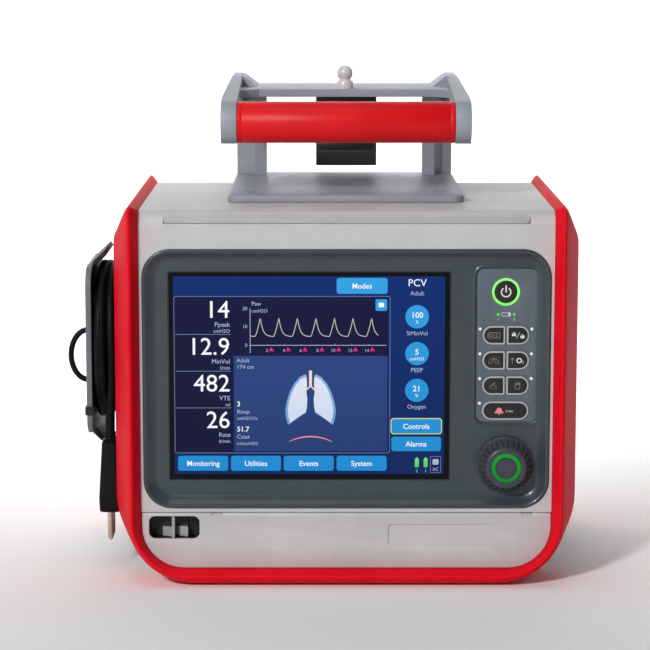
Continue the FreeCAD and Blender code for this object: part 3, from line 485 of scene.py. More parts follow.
def makeStage():
    # a floor that curves up into a backdrop: a quarter circle joins the two planes
    bend, back = studio["bend"], studio["back"]
    turn = np.radians(np.linspace(0, 90, 13))
    y = np.concatenate([[studio["front"]], back - bend + bend * np.sin(turn), [back]])
    z = np.concatenate([[0.0], bend * (1 - np.cos(turn)), [studio["wall"]]])
    left = np.stack([np.full(len(y), -studio["half"]), y, z - 0.0003], -1)
    right = left * (-1, 1, 1)
    points = np.stack([left, right], 1).reshape(-1, 3)
    mesh = bpy.data.meshes.new("stage")
    mesh.from_pydata(points.tolist(), [], gridFaces(len(y), 2, wrap=False))
    mesh.shade_smooth()
    paper = mould((250, 250, 250), (247, 247, 247), 0.8, cloud=2)
    paper.name = "stagePaper"
    mesh.materials.append(paper)
    stage = bpy.data.objects.new("stage", mesh)
    scene.collection.objects.link(stage)


def addLight(name, place, aim, size, power):
    light = bpy.data.lights.new(name, "AREA")
    light.shape = "DISK"
    light.size = size
    light.energy = power
    stand = bpy.data.objects.new(name, light)
    stand.location = place
    stand.rotation_euler = turnTowards(np.array(aim) - np.array(place))
    scene.collection.objects.link(stand)


def turnTowards(direction):
    # a light shines along its own -Z
    x, y, z = direction / np.linalg.norm(direction)
    return (math.acos(-z), 0.0, math.atan2(y, x) - math.pi / 2)


makeStage()
middle = (0.0, 0.0, 0.14)
addLight("key", (-1.15, -2.15, 1.45), middle, 0.34, 45)
addLight("fill", (1.4, -2.4, 0.8), middle, 2.4, 0.7)
addLight("top", (-0.3, -0.4, 2.4), middle, 1.4, 7)
addLight("rear", (0.0, 0.55, 0.95), (0.0, 1.5, 0.15), 0.8, 14)
world = bpy.data.worlds.new("studio")
world.use_nodes = True
world.node_tree.nodes["Background"].inputs[0].default_value = (1.0, 1.0, 1.0, 1.0)
world.node_tree.nodes["Background"].inputs[1].default_value = 0.14
scene.world = world
scene.view_settings.view_transform = "Standard"
print("camera, floor and lights placed")


# Mains lead: straight out of the connector, round the holder, and down to the plug

lead = {"diameter": 6.0, "middleZ": 141.2, "halfY": 48.9, "halfZ": 49.0, "pointsPerTurn": 16,
        "firstAngle": -45.0, "turns": 6.66,
        "atTurn": [0, 0.4, 2.3, 2.55, 3.8, 4.5, 5.1, 6.1, 6.66],
        "atX": [-142.5, -155.0, -141.0, -136.7, -143.6, -157.6, -159.0, -153.4, -149.6]}


def makeLead():
    # the winding is a squarish ring, (cos, sin) pushed out to the power 0.87, whose radius and X drift
    # with the turn: an inner layer, then an outer layer that crosses over to the plate and comes back
    leadIn = [(-140.2, 30, 85), (-140.2, 30, 91), (-142.5, 34, 97)]
    leadOut = [(-149.5, -45, 118), (-150.6, -44.6, 107.5), (-151.4, -44, 97.5), (-151.4, -44, 87)]
    turn = np.linspace(0.03, lead["turns"], int(lead["turns"] * lead["pointsPerTurn"]))
    angle = np.radians(lead["firstAngle"]) + 2 * math.pi * turn
    x = np.interp(turn, lead["atTurn"], lead["atX"])
    layer = np.interp(turn, [0, 2.2, 2.6, 6.3, 6.66], [0.87, 0.88, 1.0, 1.0, 0.97])
    wobble = 1 + 0.008 * np.sin(2.3 * turn) * np.sin(5.1 * angle)
    y = lead["halfY"] * layer * wobble * squarish(np.cos(angle), 0.87)
    z = lead["halfZ"] * layer * wobble * squarish(np.sin(angle), 0.87)
    wound = np.stack([x, y, lead["middleZ"] + z], -1).tolist()
    route = leadIn + wound + leadOut
    steps = np.diff(np.array(route), axis=0)
    print("lead route", round(float(np.linalg.norm(steps, axis=1).sum()) * mm, 3), "m")
    curve = bpy.data.curves.new("mains_lead", "CURVE")
    curve.dimensions = "3D"
    curve.bevel_depth = lead["diameter"] / 2 * mm
    curve.bevel_resolution = 5
    curve.resolution_u = 3
    curve.use_fill_caps = True
    spline = curve.splines.new("NURBS")
    spline.points.add(len(route) - 1)
    flat = np.concatenate([np.array(route) * mm, np.ones((len(route), 1))], 1)
    spline.points.foreach_set("co", flat.ravel())
    spline.order_u = 3
    spline.use_endpoint_u = True
    curve.materials.append(finishes["cordRubber"])
    piece = bpy.data.objects.new("mains_lead", curve)
    scene.collection.objects.link(piece)
    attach(piece, "case")
    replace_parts(piece, "cord_coil", "cord_lead_in", "cord_lead_out")
    return piece


mainsLead = makeLead()
print("mains lead wound")


keeper = {"x": -165.0, "z": 137.0, "reach": 10.8, "half": 16.1, "radius": 1.8}


def makeKeeper():
    # a round strap bent along half an ellipse: circles carried on the curve's own normals
    t = np.radians(np.linspace(86, 274, 41))
    across, up = keeper["reach"] * np.cos(t), keeper["half"] * np.sin(t)
    centre = np.stack([keeper["x"] + across, -42.8 - 0.8 * np.cos(t) ** 2, keeper["z"] + up], -1)
    outward = np.stack([keeper["half"] * np.cos(t), np.zeros(len(t)), keeper["reach"] * np.sin(t)], -1)
    outward /= np.linalg.norm(outward, axis=1, keepdims=True)
    angle = np.linspace(0, 2 * math.pi, 24, endpoint=False)[None, :, None]
    rings = centre[:, None] + keeper["radius"] * (np.cos(angle) * outward[:, None]
                                                  + np.sin(angle) * np.array([0.0, 1.0, 0.0]))
    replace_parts(stackedPiece("keeper_strap", rings, "cordRubber", "case", 50), "retaining_loop")


makeKeeper()


# Bumpers

# Each line runs round the front: half width, depth, lowest and highest level, lower corner radius.
bumper = {"base": (128.25, -94.9, 9.95, 234.95, 27), "ridge": (133.4, -108, 7.6, 239.7, 36),
          "chin": (136.8, -98, 0, 234.5, 42), "flank": (146.5, -60, 0, 215, 50),
          "back": (146.5, -58.1, 0, 213.1, 50), "inside": (128.25, -58.1, 9.95, 213.1, 27),
          "mirror": -1.0, "split": 190.0, "gap": 0.4, "topRound": 5.0}
bumperLines = ["base", "ridge", "chin", "flank", "back", "inside"]
# How far each corner of the section is cut, as a share of the sides before and after it.
bumperRounds = [(0.0, 0.0), (0.42, 0.42), (0.3, 0.3), (0.1, 0.5), (0.5, 0.02), (0.0, 0.0)]


def sectionWeights(rounds):
    # rows of weights on the lines: a straight run between corners, and a parabola round each corner
    rows, count, steps = [], len(rounds), 6
    for index, (before, after) in enumerate(rounds):
        corner = np.eye(count)[index]
        start = corner + before * (np.eye(count)[index - 1] - corner)
        end = corner + after * (np.eye(count)[(index + 1) % count] - corner)
        t = np.linspace(0, 1, steps if before + after > 0 else 1)[:, None]
        rows.append((1 - t) ** 2 * start + 2 * t * (1 - t) * corner + t ** 2 * end)
        nextBefore = rounds[(index + 1) % count][0]
        following = np.eye(count)[(index + 1) % count]
        arrive = following + nextBefore * (corner - following)
        along = np.linspace(0, 1, steps)[1:-1, None]
        rows.append(end + along * (arrive - end))
    return np.concatenate(rows)


def bumperLine(half, depth, low, top, corner, rear):
    # one line of the bumper from the middle of the bottom round the left side, then mirrored
    flip = 2 * bumper["mirror"]
    turn = np.radians(np.linspace(0, 90, 17))

    def run(x, y, z, steps=17):
        return np.stack([np.broadcast_to(part, steps) for part in (x, y, z)], -1)

    bottom = run(np.linspace(0, -(half - corner), 14), depth, low, 14)
    lowCorner = run(-(half - corner) - corner * np.sin(turn), depth, low + corner * (1 - np.cos(turn)))
    if rear:
        leg = run(-half, depth, np.linspace(low + corner, bumper["split"] - bumper["gap"], 14), 14)
        side = np.concatenate([bottom, lowCorner[1:], leg[1:]])
        side[:, 1] = flip - side[:, 1]
    else:
        bend = bumper["topRound"]
        leg = run(-half, depth, np.linspace(low + corner, top - bend, 16), 16)
        over = run(-half, depth + bend * (1 - np.cos(turn)), top - bend + bend * np.sin(turn))
        rail = run(-half, np.linspace(depth + bend, flip - depth - bend, 18), top, 18)
        down = over[::-1] * (1, -1, 1) + (0, flip, 0)
        rearLeg = run(-half, flip - depth, np.linspace(top - bend, bumper["split"], 5), 5)
        side = np.concatenate([bottom, lowCorner[1:], leg[1:], over[1:], rail[1:], down[1:], rearLeg[1:]])
    return np.concatenate([side[::-1], side[1:] * (-1, 1, 1)])


def makeBumper(name, rear, node):
    # surface = weights of the section times the lines it runs along
    lines = np.stack([bumperLine(*bumper[line], rear) for line in bumperLines])
    weights = sectionWeights(bumperRounds)
    surface = np.einsum("sk,kpx->psx", weights, lines)
    piece = stackedPiece(name, surface, "bumperRed", "case", sharp=50)
    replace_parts(piece, node)


makeBumper("bumper_front", False, "front_bumper")
makeBumper("bumper_rear", True, "rear_bumper")
print("bumpers done")


# Screen

screen = {"front": -91.06, "step": 0.04, "left": -107.3, "right": 61.0, "low": 69.4, "high": 194.2}


def screenDepth(layer):
    return screen["front"] - layer * screen["step"]


def centred(words, x, z, height, finish, bold=0.0):
    printWords(words, x, z, height, screenDepth(4), finish, align="CENTER", bold=bold)


def button(x0, x1, z0, z1, words):
    printShape(roundRect(x0, x1, z0, z1, 1.6), screenDepth(3), "screenButton")
    height = 3.3
    centred(words, (x0 + x1) / 2, (z0 + z1 - height) / 2, height, "screenWhite", 0.05)


def makeScreen():
    rect = roundRect
    printShape(rect(-110.2, 64.1, 66.2, 196.8, 0.6), screenDepth(0), "screenBlack")
    printShape(rect(screen["left"], screen["right"], screen["low"], screen["high"], 0.6), screenDepth(1),
               "screenBlue")
    printShape(rect(-106.6, -70.4, 83.4, 181.2, 0.4), screenDepth(2), "screenNavy")
    printShape(rect(-70.3, 26.0, 144.6, 181.2, 0.4), screenDepth(2), "screenNavy")
    printShape(rect(-69.8, 25.4, 84.2, 144.4, 0.6), screenDepth(2), "screenPanel")
    printShape(rect(-107.0, 27.2, 82.8, 181.9, 1.4), screenDepth(3), "screenLine",
               hole=rect(-106.7, 26.9, 83.1, 181.6, 1.2))
    readings = [("14", "Ppeak", "cmH2O"), ("12.9", "MinVol", "l/min"), ("482", "VTE", "ml"),
                ("26", "Rate", "b/min")]
    for row, (value, label, unit) in enumerate(readings):
        base = 168.4 - 23.2 * row
        printWords(value, -72.2, base, 11.0, screenDepth(4), "screenWhite", align="RIGHT", bold=0.02)
        printWords(label, -72.2, base - 5.6, 2.9, screenDepth(4), "screenPale", align="RIGHT")
        printWords(unit, -72.2, base - 9.4, 2.3, screenDepth(4), "screenPale", align="RIGHT")
        if row:
            printShape(rect(-106.1, -71.6, base + 12.6, base + 12.95, 0.1), screenDepth(3), "screenLine")
    makeWave()
    makeLungs()
    for x0, words in ((-105.1, "Monitoring"), (-72.1, "Utilities"), (-39.1, "Events"), (-6.1, "System")):
        button(x0, x0 + 31.3, 71.6, 81.1, words)
    button(-6.1, 25.4, 183.4, 193.3, "Modes")
    printShape(rect(27.6, 59.7, 94.8, 105.1, 2.0), screenDepth(2.5), "screenYellow")
    button(28.2, 59.1, 95.4, 104.5, "Controls")
    button(28.2, 59.1, 84.1, 93.3, "Alarms")
    centred("PCV", 43.8, 188.1, 4.6, "screenWhite")
    centred("Adult", 43.8, 182.4, 2.8, "screenPale")
    dials = [("100", "%", "%MinVol"), ("5", "cmH2O", "PEEP"), ("21", "%", "Oxygen")]
    for row, (value, unit, label) in enumerate(dials):
        level = 169.0 - 23.15 * row
        printShape(arcPoints(43.8, level, 7.3, 0, 352.5, 48), screenDepth(3), "screenButton")
        centred(value, 43.8, level - 0.6, 3.6, "screenWhite", 0.05)
        centred(unit, 43.8, level - 4.2, 2.0, "screenWhite")
        centred(label, 43.8, level - 11.6, 2.7, "screenPale")
    for number, x in (("2", 44.1), ("1", 49.6)):
        printShape(rect(x - 1.25, x + 1.25, 73.8, 79.4, 0.4), screenDepth(3), "screenGreen")
        printShape(rect(x - 0.5, x + 0.5, 79.3, 80.1, 0.2), screenDepth(3), "screenGreen")
        centred(number, x, 70.6, 2.0, "screenPale")
    printShape(rect(52.4, 59.2, 70.2, 80.8, 0.6), screenDepth(3), "screenLine",
               hole=rect(52.7, 58.9, 70.5, 80.5, 0.4))
    printShape(rect(53.9, 57.7, 75.4, 79.0, 0.8), screenDepth(3), "screenPale")
    centred("AC", 55.8, 71.6, 2.1, "screenPale")


def makeWave():
    # airway pressure: a quick curved rise, a point, then a decay, once every period
    left, base, period, depth = -59.7, 151.1, 11.5, screenDepth(4)
    printShape(roundRect(left - 0.2, left + 0.2, 146.3, 174.4, 0.05), depth, "screenPale")
    printShape(roundRect(left - 0.6, 24.8, base - 0.18, base + 0.18, 0.05), depth, "screenPale")
    x = np.linspace(left + 0.2, 19.9, 330)
    phase = np.mod((x - left + 8.6) / period, 1.0)
    rise = np.clip(phase / 0.3, 0, 1) ** 1.4
    fall = np.exp(-np.clip(phase - 0.3, 0, 1) / 0.14)
    z = 156.6 + 11.8 * rise * fall
    printStroke(np.stack([x, z], -1), 0.45, screenDepth(5), "screenWave")
    for value, level in (("20", 173.2), ("10", 161.9), ("0", 150.2)):
        printWords(value, -61.4, level, 2.2, depth, "screenPale", align="RIGHT")
    for number in range(1, 8):
        x = -59.3 + 10.45 * number
        printShape(roundRect(x - 0.1, x + 0.1, base, base + 0.9, 0.05), depth, "screenPale")
        printWords(str(2 * number), x + 0.2, 147.0, 2.0, depth, "screenPale", align="RIGHT")
        flag = np.array([(x + 0.6, 147.4), (x + 2.2, 149.9), (x + 3.9, 147.4)])
        printShape(flag, depth, "screenMagenta")
    printWords("Paw", -58.8, 176.0, 2.6, depth, "screenPale")
    printWords("cmH2O", -58.8, 171.7, 2.2, depth, "screenPale")
    printShape(roundRect(18.0, 25.2, 172.7, 180.0, 1.0), screenDepth(3), "screenButton")
    printShape(roundRect(19.9, 23.3, 175.0, 177.8, 0.5), screenDepth(4), "screenWhite")


def makeLungs():
    # two lobes with a halo, the airway that forks into them, and the arc of the diaphragm
    middleX, depth = -22.3, screenDepth(4)
    lobe = np.array([(2.4, 130.4), (3.4, 131.2), (6.2, 129.6), (9.2, 126.0), (11.6, 121.4), (13.4, 115.6),
                     (14.2, 110.6), (13.8, 106.0), (12.7, 102.0), (9.0, 104.8), (5.4, 107.4), (2.9, 109.0),
                     (2.3, 112.0), (2.0, 117.0), (2.6, 121.5), (2.2, 126.0)])
    centre = lobe.mean(0)
    halo = centre + (lobe - centre) * (1.13, 1.1) + (0.6, 0.2)
    for side in (1, -1):
        def mirrored(points):
            points = np.asarray(points)
            return np.stack([middleX + side * points[:, 0], points[:, 1]], -1)

        printShape(mirrored(halo)[::side], screenDepth(3), "lungHalo")
        printShape(mirrored(lobe)[::side], depth, "lungFill")
        fork = [(0.0, 126.2), (0.5, 125.0), (2.2, 123.4), (4.2, 121.8), (5.6, 119.2)]
        printStroke(mirrored(fork), 0.9, screenDepth(5), "lungAirway")
        for x, z in ((5.9, 123.2), (6.8, 119.8)):
            twig = [(3.6, 122.4), ((3.6 + x) / 2, z + 0.2), (x, z)]
            printStroke(mirrored(twig), 0.4, screenDepth(5), "lungAirway")
    printShape(roundRect(middleX - 0.9, middleX + 0.9, 125.0, 135.2, 0.6), screenDepth(5), "lungAirway")
    upper = arcPoints(middleX, 66.0, 27.8, 61, 119, 24)
    lower = arcPoints(middleX, 60.6, 32.3, 65.4, 114.6, 24)[::-1]
    printShape(np.concatenate([upper, lower]), depth, "lungArc")
    labels = [("Adult", 140.4, 2.6), ("174 cm", 136.3, 2.6), ("3", 112.6, 3.2), ("Rinsp", 108.0, 2.6),
              ("cmH2O/l/s", 104.0, 2.1), ("51.7", 96.6, 3.2), ("Cstat", 92.1, 2.6), ("ml/cmH2O", 88.0, 2.1)]
    for words, z, height in labels:
        bold = 0.06 if height > 3 else 0.0
        printWords(words, -68.2, z, height, depth, "screenWhite" if bold else "screenPale", bold=bold)


makeScreen()
print("screen drawn")


# Bezel

def makeFrameBand(name, x0, x1, z0, z1, corner, profile, finish):
    # a closed band round a rounded rectangle; profile rows are (inset, y) and the last joins the first
    rings = []
    for inset, y in profile:
        outline = roundRect(x0 + inset, x1 - inset, z0 + inset, z1 - inset, corner - inset, 12)
        rings.append(standing(outline, y))
    return stackedPiece(name, np.stack(rings), finish, "case", 40, ring=True)


# A proud crest, then a long slope down to the floor round the glass.
makeFrameBand("bezel_rim", -126.6, 126.6, 48.3, 211.8, 18.0,
              [(0.02, -91.2), (0.02, -94.9), (0.25, -95.5), (0.8, -95.85), (1.5, -95.9), (2.2, -95.6),
               (3.0, -94.9), (4.6, -93.3), (6.2, -92.0), (7.4, -91.3), (8.4, -91.07), (8.4, -90.95)],
              "bezelGrey")
# A low lip round the keypad that falls away inwards.
makeFrameBand("pad_rim", 79.7, 119.8, 101.5, 200.0, 6.0,
              [(-1.4, -90.9), (-1.4, -91.03), (-0.9, -91.3), (-0.3, -91.35), (0.2, -91.1), (0.9, -90.3),
               (1.2, -90.06), (1.2, -89.95)], "bezelGrey")
print("bezel rim done")


# Keypad

keypad = {"middle": 99.0, "gap": 0.5, "wide": 14.0, "tall": 11.6, "pitch": 15.87, "firstRow": 157.3,
          "panel": -90.0, "rim": 0.95, "proud": 0.7, "inner": 1.0, "rear": -87.0}
keyPlaces = {"key_day_night": (0, -1), "key_screen_lock": (0, 1), "key_manual_breath": (1, -1),
             "key_oxygen_boost": (1, 1), "key_nebuliser": (2, -1), "key_suction": (2, 1),
             "key_alarm_silence": (3, 0)}


def keyOutline(row, side, inset):
    # a D whose straight side faces its neighbour, or a pill for the single key
    low = keypad["firstRow"] - row * keypad["pitch"] - keypad["tall"] / 2
    gap, wide = keypad["gap"], keypad["wide"]
    left = keypad["middle"] + (-gap - wide if side <= 0 else gap)
    right = keypad["middle"] + (gap + wide if side >= 0 else -gap)
    return roundRect(left + inset, right - inset, low + inset, low + keypad["tall"] - inset,
                     keypad["tall"] / 2 - 0.1 - inset, 9, max(keypad["inner"] - inset, 0.3),
                     {1: "left", -1: "right", 0: None}[side])


def makeKey(name, row, side):
    # the pale rim is a raised band; the dark face sits in it with a soft crown
    front = keypad["panel"] - keypad["proud"]
    steps = [(0.0, keypad["rear"]), (0.0, front + 0.2), (0.08, front + 0.06), (0.2, front),
             (keypad["rim"] - 0.2, front), (keypad["rim"], front + 0.1)]

    def rings(profile):
        return np.stack([standing(keyOutline(row, side, inset), y) for inset, y in profile])

    piece = stackedPiece(name + "_rim", rings(steps), "rimGrey", name)
    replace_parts(piece, name)
    face = [(keypad["rim"] + 0.05, front + 0.3), (keypad["rim"] + 0.05, front + 0.02),
            (keypad["rim"] + 0.3, front - 0.05), (keypad["rim"] + 1.4, front - 0.09)]
    stackedPiece(name + "_face", rings(face), "keyBlack", name)


for keyName, (keyRow, keySide) in keyPlaces.items():
    makeKey(keyName, keyRow, keySide)


def keyCentre(name):
    row, side = keyPlaces[name]
    across = keypad["middle"] + side * (keypad["gap"] + keypad["wide"] / 2)
    return across, keypad["firstRow"] - row * keypad["pitch"]


iconFront = keypad["panel"] - keypad["proud"] - 0.13


def iconPlace(name):
    return name, *keyCentre(name)


def stroke(body, points, width, finish="inkGrey"):
    printStroke(points, width, iconFront, finish, body)


def hoop(body, x, z, radius, width, finish="inkGrey", start=0, end=352.5, steps=28):
    if end - start > 350:
        printShape(arcPoints(x, z, radius + width / 2, start, end, steps), iconFront, finish, body,
                   hole=arcPoints(x, z, radius - width / 2, start, end, steps))
    else:
        printStroke(arcPoints(x, z, radius, start, end, steps), width, iconFront, finish, body)


def makeIcons():
    body, x, z = iconPlace("key_day_night")
    outline = roundRect(x - 3.9, x + 3.9, z - 1.9, z + 1.9, 0.7)
    printShape(outline, iconFront, "inkGrey", body, hole=roundRect(x - 3.6, x + 3.6, z - 1.6, z + 1.6, 0.5))
    hoop(body, x - 2.1, z, 0.9, 0.35)
    stroke(body, [(x - 0.1, z - 1.6), (x - 0.1, z + 1.6)], 0.25)
    hoop(body, x + 2.2, z, 0.95, 0.35, start=80, end=290, steps=14)

    body, x, z = iconPlace("key_screen_lock")
    for dx, dz, size in ((-2.6, 0.6, 1.0), (2.7, -0.8, 1.0)):
        printShape(roundRect(x + dx - 1.25 * size, x + dx + 1.25 * size, z + dz - 1.1, z + dz + 0.5, 0.2),
                   iconFront, "inkWhite", body)
        hoop(body, x + dx, z + dz + 0.5, 0.75, 0.35, "inkWhite", 0, 180 if dx > 0 else 150, 12)
    stroke(body, [(x - 1.0, z - 1.8), (x + 1.0, z + 1.8)], 0.3, "inkWhite")

    body, x, z = iconPlace("key_manual_breath")
    for side in (-1, 1):
        lobe = [(x + side * 0.7, z + 0.6), (x + side * 1.6, z + 1.5), (x + side * 2.8, z - 0.2),
                (x + side * 3.3, z - 1.9), (x + side * 1.6, z - 1.8), (x + side * 0.8, z - 0.9),
                (x + side * 0.7, z + 0.6)]
        stroke(body, lobe, 0.32)
    stroke(body, [(x, z + 0.2), (x, z + 2.3)], 0.5)

    body, x, z = iconPlace("key_oxygen_boost")
    stroke(body, [(x - 3.4, z - 1.6), (x - 3.4, z + 1.6)], 0.4)
    stroke(body, [(x - 4.6, z + 0.4), (x - 3.4, z + 1.7), (x - 2.2, z + 0.4)], 0.4)
    hoop(body, x + 0.8, z, 1.35, 0.7, "inkWhite")
    printWords("2", x + 2.6, z - 1.8, 1.7, iconFront, "inkWhite", body)

    body, x, z = iconPlace("key_nebuliser")
    cloud = [(-2.2, -1.6), (-1.9, -0.2), (0.2, 0.5), (1.6, -0.6), (2.2, -1.6)]
    stroke(body, [(x + dx, z + dz) for dx, dz in cloud], 0.35)
    stroke(body, [(x - 0.8, z + 0.6), (x + 0.9, z + 2.1)], 0.5)
    for dx in (-1.6, -0.6, 0.4, 1.4):
        printShape(arcPoints(x + dx, z - 1.9, 0.24, 0, 324, 10), iconFront, "inkGrey", body)

    body, x, z = iconPlace("key_suction")
    jar = roundRect(x - 1.6, x + 1.6, z - 2.2, z + 0.9, 0.8)
    printShape(jar, iconFront, "inkGrey", body, hole=roundRect(x - 1.25, x + 1.25, z - 1.85, z + 0.55, 0.5))
    stroke(body, [(x - 1.9, z + 1.2), (x + 1.9, z + 1.2)], 0.35)
    stroke(body, [(x - 1.0, z + 2.4), (x + 0.2, z + 1.3)], 0.3)
    stroke(body, [(x + 1.4, z + 2.4), (x + 0.6, z + 1.3)], 0.3)

    body, x, z = iconPlace("key_alarm_silence")
    x -= 3.8
    rise = np.radians(np.linspace(0, 180, 13))
    dome = np.stack([x + 1.7 * np.cos(rise), z + 0.3 + 1.7 * np.sin(rise)], -1)
    bell = np.concatenate([[(x + 3.0, z - 1.6)], dome, [(x - 3.0, z - 1.6)]])
    printShape(bell, iconFront, "inkPink", body)
    printShape(arcPoints(x, z - 1.75, 0.75, 180, 360, 10), iconFront, "inkPink", body)
    printWords("2 min", x + 4.0, z - 0.9, 1.5, iconFront, "inkWhite", body)


def makeLamps():
    front = keypad["panel"] - 0.14
    for row in range(4):
        for x in (82.9, 115.0)[:2 if row < 3 else 1]:
            level = 161.2 - row * keypad["pitch"] + 0.25 * row
            printShape(arcPoints(x, level, 0.95, 0, 337.5, 16), front, "ledWhite")
    for x, number in ((94.0, "1"), (104.0, "2")):
        printShape(arcPoints(x, 170.3, 0.95, 0, 337.5, 16), front, "ledGreen")
        printWords(number, x, 166.7, 1.6, front, "inkWhite", align="CENTER")
    printShape(roundRect(96.2, 101.6, 169.1, 171.5, 0.5), front, "inkWhite",
               hole=roundRect(96.5, 101.3, 169.4, 171.2, 0.3))
    printShape(roundRect(100.4, 101.7, 169.1, 171.5, 0.4), front - 0.02, "inkWhite")


power = {"x": 98.7, "z": 184.4, "front": -91.0}


def makePowerButton():
    # a shallow dished disc with its symbol: an open ring and a bar
    x, z, front = power["x"], power["z"], power["front"]
    profile = [(-87.2, 0.0), (-87.2, 7.0), (front + 0.35, 7.0), (front + 0.1, 6.85), (front, 6.6),
               (front + 0.12, 4.5), (front + 0.16, 0.0)]
    piece = turnedPiece("power_cap", profile, (x, 0, z), "Y", "keyBlack", "power_button")
    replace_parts(piece, "power_button")
    sign = arcPoints(x, z, 2.9, 125, 415, 40)
    printStroke(sign, 0.8, front - 0.05, "inkWhite", "power_button")
    printShape(roundRect(x - 0.45, x + 0.45, z - 0.2, z + 4.2, 0.3), front - 0.05, "inkWhite", "power_button")
    edge, inner = 8.6, 7.25
    halo = [(-87.0, inner), (-90.6, inner), (-90.85, inner + 0.3), (-90.85, edge - 0.3), (-90.6, edge),
            (-87.0, edge)]
    piece = turnedPiece("power_halo", halo, (x, 0, z), "Y", "ringGreen", "case", ring=True)
    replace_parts(piece, "power_light_ring")


makeIcons()
makeLamps()
makePowerButton()
print("keypad done")


# Rotary knob

knob = {"x": 99.1, "z": 75.8, "base": -92.0, "front": -104.0, "skirt": 18.0, "top": 12.4, "flutes": 26}


def makeKnob():
    # the side's radius dips in narrow grooves: 1 - depth * |cos(n a / 2)| ** 14, strongest half way up
    base, front, skirt, top = knob["base"], knob["front"], knob["skirt"], knob["top"]
    profile = [(base - 0.03, 0.0), (base - 0.03, skirt - 0.3), (base - 0.3, skirt), (base - 1.5, skirt),
               (base - 2.0, skirt - 0.6), (base - 2.3, skirt - 0.9)]
    climb = np.linspace(0, 1, 9)[1:]
    foot, brow = profile[-1], (front + 1.2, top + 0.5)
    side = [(foot[0] + (brow[0] - foot[0]) * t, foot[1] + (brow[1] - foot[1]) * t) for t in climb]
    crown = [(front + 0.5, top + 0.1), (front + 0.15, top - 0.5), (front, top - 1.2), (front, 9.3)]
    dip = [(front + 0.5, 9.1), (front + 0.5, 6.2), (front + 0.05, 6.0), (front, 5.4), (front - 0.05, 2.5),
           (front - 0.05, 0.0)]
    rows = profile + side + crown + dip
    first = len(profile) - 1
    last = first + len(side)
    strength = np.zeros(len(rows))
    strength[first:last + 1] = 0.075 * np.sin(np.linspace(0.1, math.pi - 0.1, last + 1 - first)) ** 0.5

    def ripple(angle, row):
        return 1 - strength[row] * np.abs(np.cos(knob["flutes"] * angle / 2)) ** 14

    centre = (knob["x"], 0, knob["z"])
    piece = turnedPiece("knob_body", rows, centre, "Y", "knobGrey", "knob", 416, 32, ripple)
    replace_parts(piece, "knob")
    glow = [(front + 0.6, 6.75), (front + 0.1, 6.9), (front - 0.12, 7.3), (front - 0.12, 8.5),
            (front + 0.1, 8.95), (front + 0.6, 9.1)]
    turnedPiece("knob_glow", glow, centre, "Y", "knobGreen", "knob", 72, ring=True)
    cap = [(front + 0.3, 0.0), (front + 0.3, 5.7), (front - 0.08, 5.7), (front - 0.16, 5.2),
           (front - 0.22, 2.6), (front - 0.24, 0.0)]
    turnedPiece("knob_cap", cap, centre, "Y", "knobFace", "knob", 64)


makeKnob()
print("knob turned")


# Handle

grip = {"y": -40.0, "z": 285.6, "radius": 13.1, "half": 69.0}


def makeGrip():
    # a sleeve with a tight collar line near each end
    half, radius = grip["half"], grip["radius"]
    end = [(half - 0.05, 0.0), (half - 0.05, radius - 0.5), (half - 0.4, radius - 0.1), (half - 1.0, radius),
           (half - 3.0, radius), (half - 3.2, radius - 0.12), (half - 3.4, radius)]
    profile = [(-x, r) for x, r in end] + [(0.0, radius)] + end[::-1]
    piece = turnedPiece("grip_sleeve", profile, (0, grip["y"], grip["z"]), "X", "gripRed", "case", 72)
    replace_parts(piece, "handle_grip")


stud = {"y": 45.0, "floor": 301.6, "ball": 5.25, "centre": 10.4}


def makeStud():
    # foot, narrow neck and ball; the ball's radius follows a circle
    y, floor, ball, centre = stud["y"], stud["floor"], stud["ball"], stud["centre"]
    foot = [(0.0, 0.0), (0.0, 5.4), (0.4, 5.5), (4.4, 5.5), (5.0, 5.1), (5.8, 4.0)]
    angle = np.radians(np.linspace(-48, 90, 16))
    sphere = [(centre + ball * math.sin(a), ball * math.cos(a)) for a in angle]
    sphere[-1] = (centre + ball, 0.0)
    piece = turnedPiece("stud_ball", foot + sphere, (0, y, floor), "Z", "studWhite", "case", 48)
    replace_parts(piece, "ball_stud")


plate = {"half": 75.0, "front": -46.0, "back": 110.0, "corner": 8.0, "low": 235.0, "high": 240.0, "bend": 2.2,
         "screws": [(-61, -24), (61, -24), (-35, 82.5), (35, 82.5)]}


def makePlate():
    # rounded rectangles stacked upwards; the top edge turns in along a quarter circle
    x, front, back, corner = plate["half"], plate["front"], plate["back"], plate["corner"]
    low, high, bend = plate["low"], plate["high"], plate["bend"]
    turn = np.radians(np.linspace(0, 90, 7))
    profile = [(0.6, low + 0.02), (0.0, low + 0.6)]
    profile += [(bend * (1 - math.cos(a)), high - bend + bend * math.sin(a)) for a in turn]
    rings = []
    for inset, z in profile:
        outline = roundRect(-x + inset, x - inset, front + inset, back - inset, corner - inset, 10)
        rings.append(np.concatenate([outline, np.full((len(outline), 1), z)], 1))
    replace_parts(stackedPiece("handle_plate", np.stack(rings), "handleGrey", "case", 50), "handle_base_plate")
    for index, (holeX, holeY) in enumerate(plate["screws"]):
        # each cup is a black disc in a countersunk hole, painting the shade inside it
        cup = [(-0.4, 0.0), (-0.4, 3.5), (0.04, 3.5), (0.04, 2.9), (-0.12, 1.9), (-0.12, 0.0)]
        turnedPiece(f"screw_cup_{index + 1}", cup, (holeX, holeY, high), "Z", "screwBlack", "case", 32)


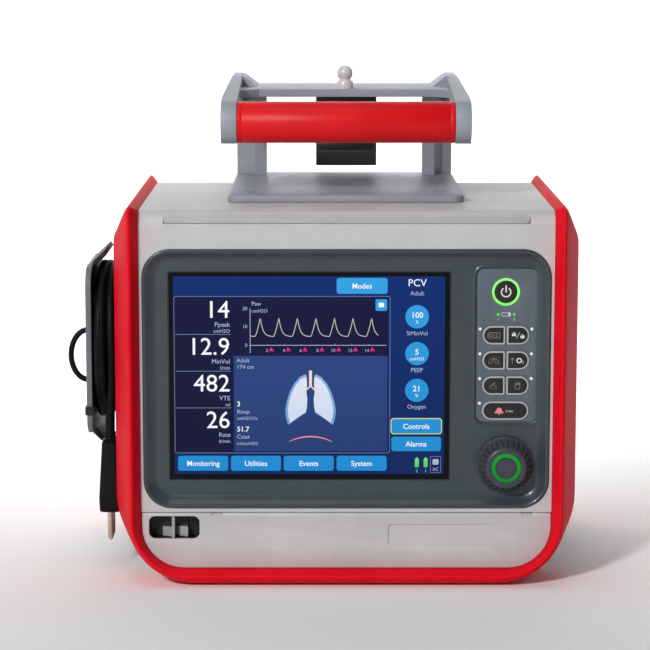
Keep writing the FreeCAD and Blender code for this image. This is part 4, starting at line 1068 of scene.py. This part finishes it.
makeGrip()
makeStud()
makePlate()
for softNode, softWidth in (("handle_frame", 1.4), ("bed_rail_hook", 1.2),
                            ("cord_holder", 0.9), ("ac_connector", 1.0), ("filter_cover", 0.8),
                            ("expiratory_lock_ring", 0.8), ("bottom_cover", 1.2), ("ac_inlet", 0.5),
                            ("side_panel_left", 0.8), ("side_panel_right", 0.8), ("battery_door", 0.4),
                            ("door_latch", 0.3), ("keypad_panel", 0.3), ("alarm_lamp", 0.15)):
    softEdges(softNode, softWidth)
print("handle and softened edges done")


# Plug

plug = {"x": -151.4, "y": -44.0, "low": 36.0, "high": 87.0, "pinApart": 6.0}


def makePlug():
    # sections are squarish rings, cos and sin to the power 2 / n, that widen downwards and then close
    x, y, low, high = plug["x"], plug["y"], plug["low"], plug["high"]
    rows = [(high, 3.0, 3.0, 2.0), (high, 3.5, 3.5, 2.0), (high - 1.5, 3.7, 3.7, 2.0),
            (high - 1.7, 3.3, 3.3, 2.0), (high - 2.5, 3.3, 3.3, 2.0), (high - 2.7, 3.95, 3.95, 2.0),
            (high - 4.2, 4.1, 4.1, 2.0), (high - 4.4, 3.6, 3.6, 2.0), (high - 5.2, 3.6, 3.6, 2.0),
            (high - 5.5, 4.5, 6.2, 4.0), (high - 6.4, 5.25, 7.4, 6.0), (low + 9, 7.25, 10.4, 7.0),
            (low + 3, 7.1, 10.3, 7.0), (low + 0.6, 6.9, 10.1, 7.0), (low, 6.3, 9.5, 6.0)]
    angle = np.linspace(0, 2 * math.pi, 64, endpoint=False)
    rings = []
    for z, wide, deep, power in rows:
        across = wide * squarish(np.cos(angle), 2 / power)
        along = deep * squarish(np.sin(angle), 2 / power)
        rings.append(np.stack([x + across, y + along, np.full(64, z)], -1))
    piece = stackedPiece("plug_shell", np.stack(rings), "plugRubber", "case", 40)
    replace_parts(piece, "plug_body")
    pins = []
    for side in (-1, 1):
        base = plug["low"] + 0.2
        pin = [(base, 0.0), (base, 2.0), (base - 16.6, 1.95), (base - 18.0, 1.5), (base - 19.0, 0.7),
               (base - 19.15, 0.0)]
        pins.append(turnedPiece("plug_pin_" + ("front" if side < 0 else "rear"), pin,
                                (x, y + side * plug["pinApart"], 0), "Z", "pinBrass", "case", 32))
    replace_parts(pins[0], "plug_pins")
    return [piece] + pins


plugPieces = makePlug()

# A clip that hooks round the front edge of the holder's plate.
clip = {"low": 98.0, "high": 103.4}
clipPlan = np.array([(-167.2, -46.4), (-161.6, -46.4), (-161.6, -41.0), (-162.3, -41.0), (-162.3, -45.2),
                     (-166.4, -45.2), (-166.4, -39.0), (-167.2, -39.0)])
clipRings = np.stack([np.concatenate([clipPlan, np.full((len(clipPlan), 1), z)], 1)
                      for z in (clip["low"], clip["high"])])
stackedPiece("holder_clip", clipRings, "clipBlack", "case", 20)
finishPrints()
print("plug and prints done")
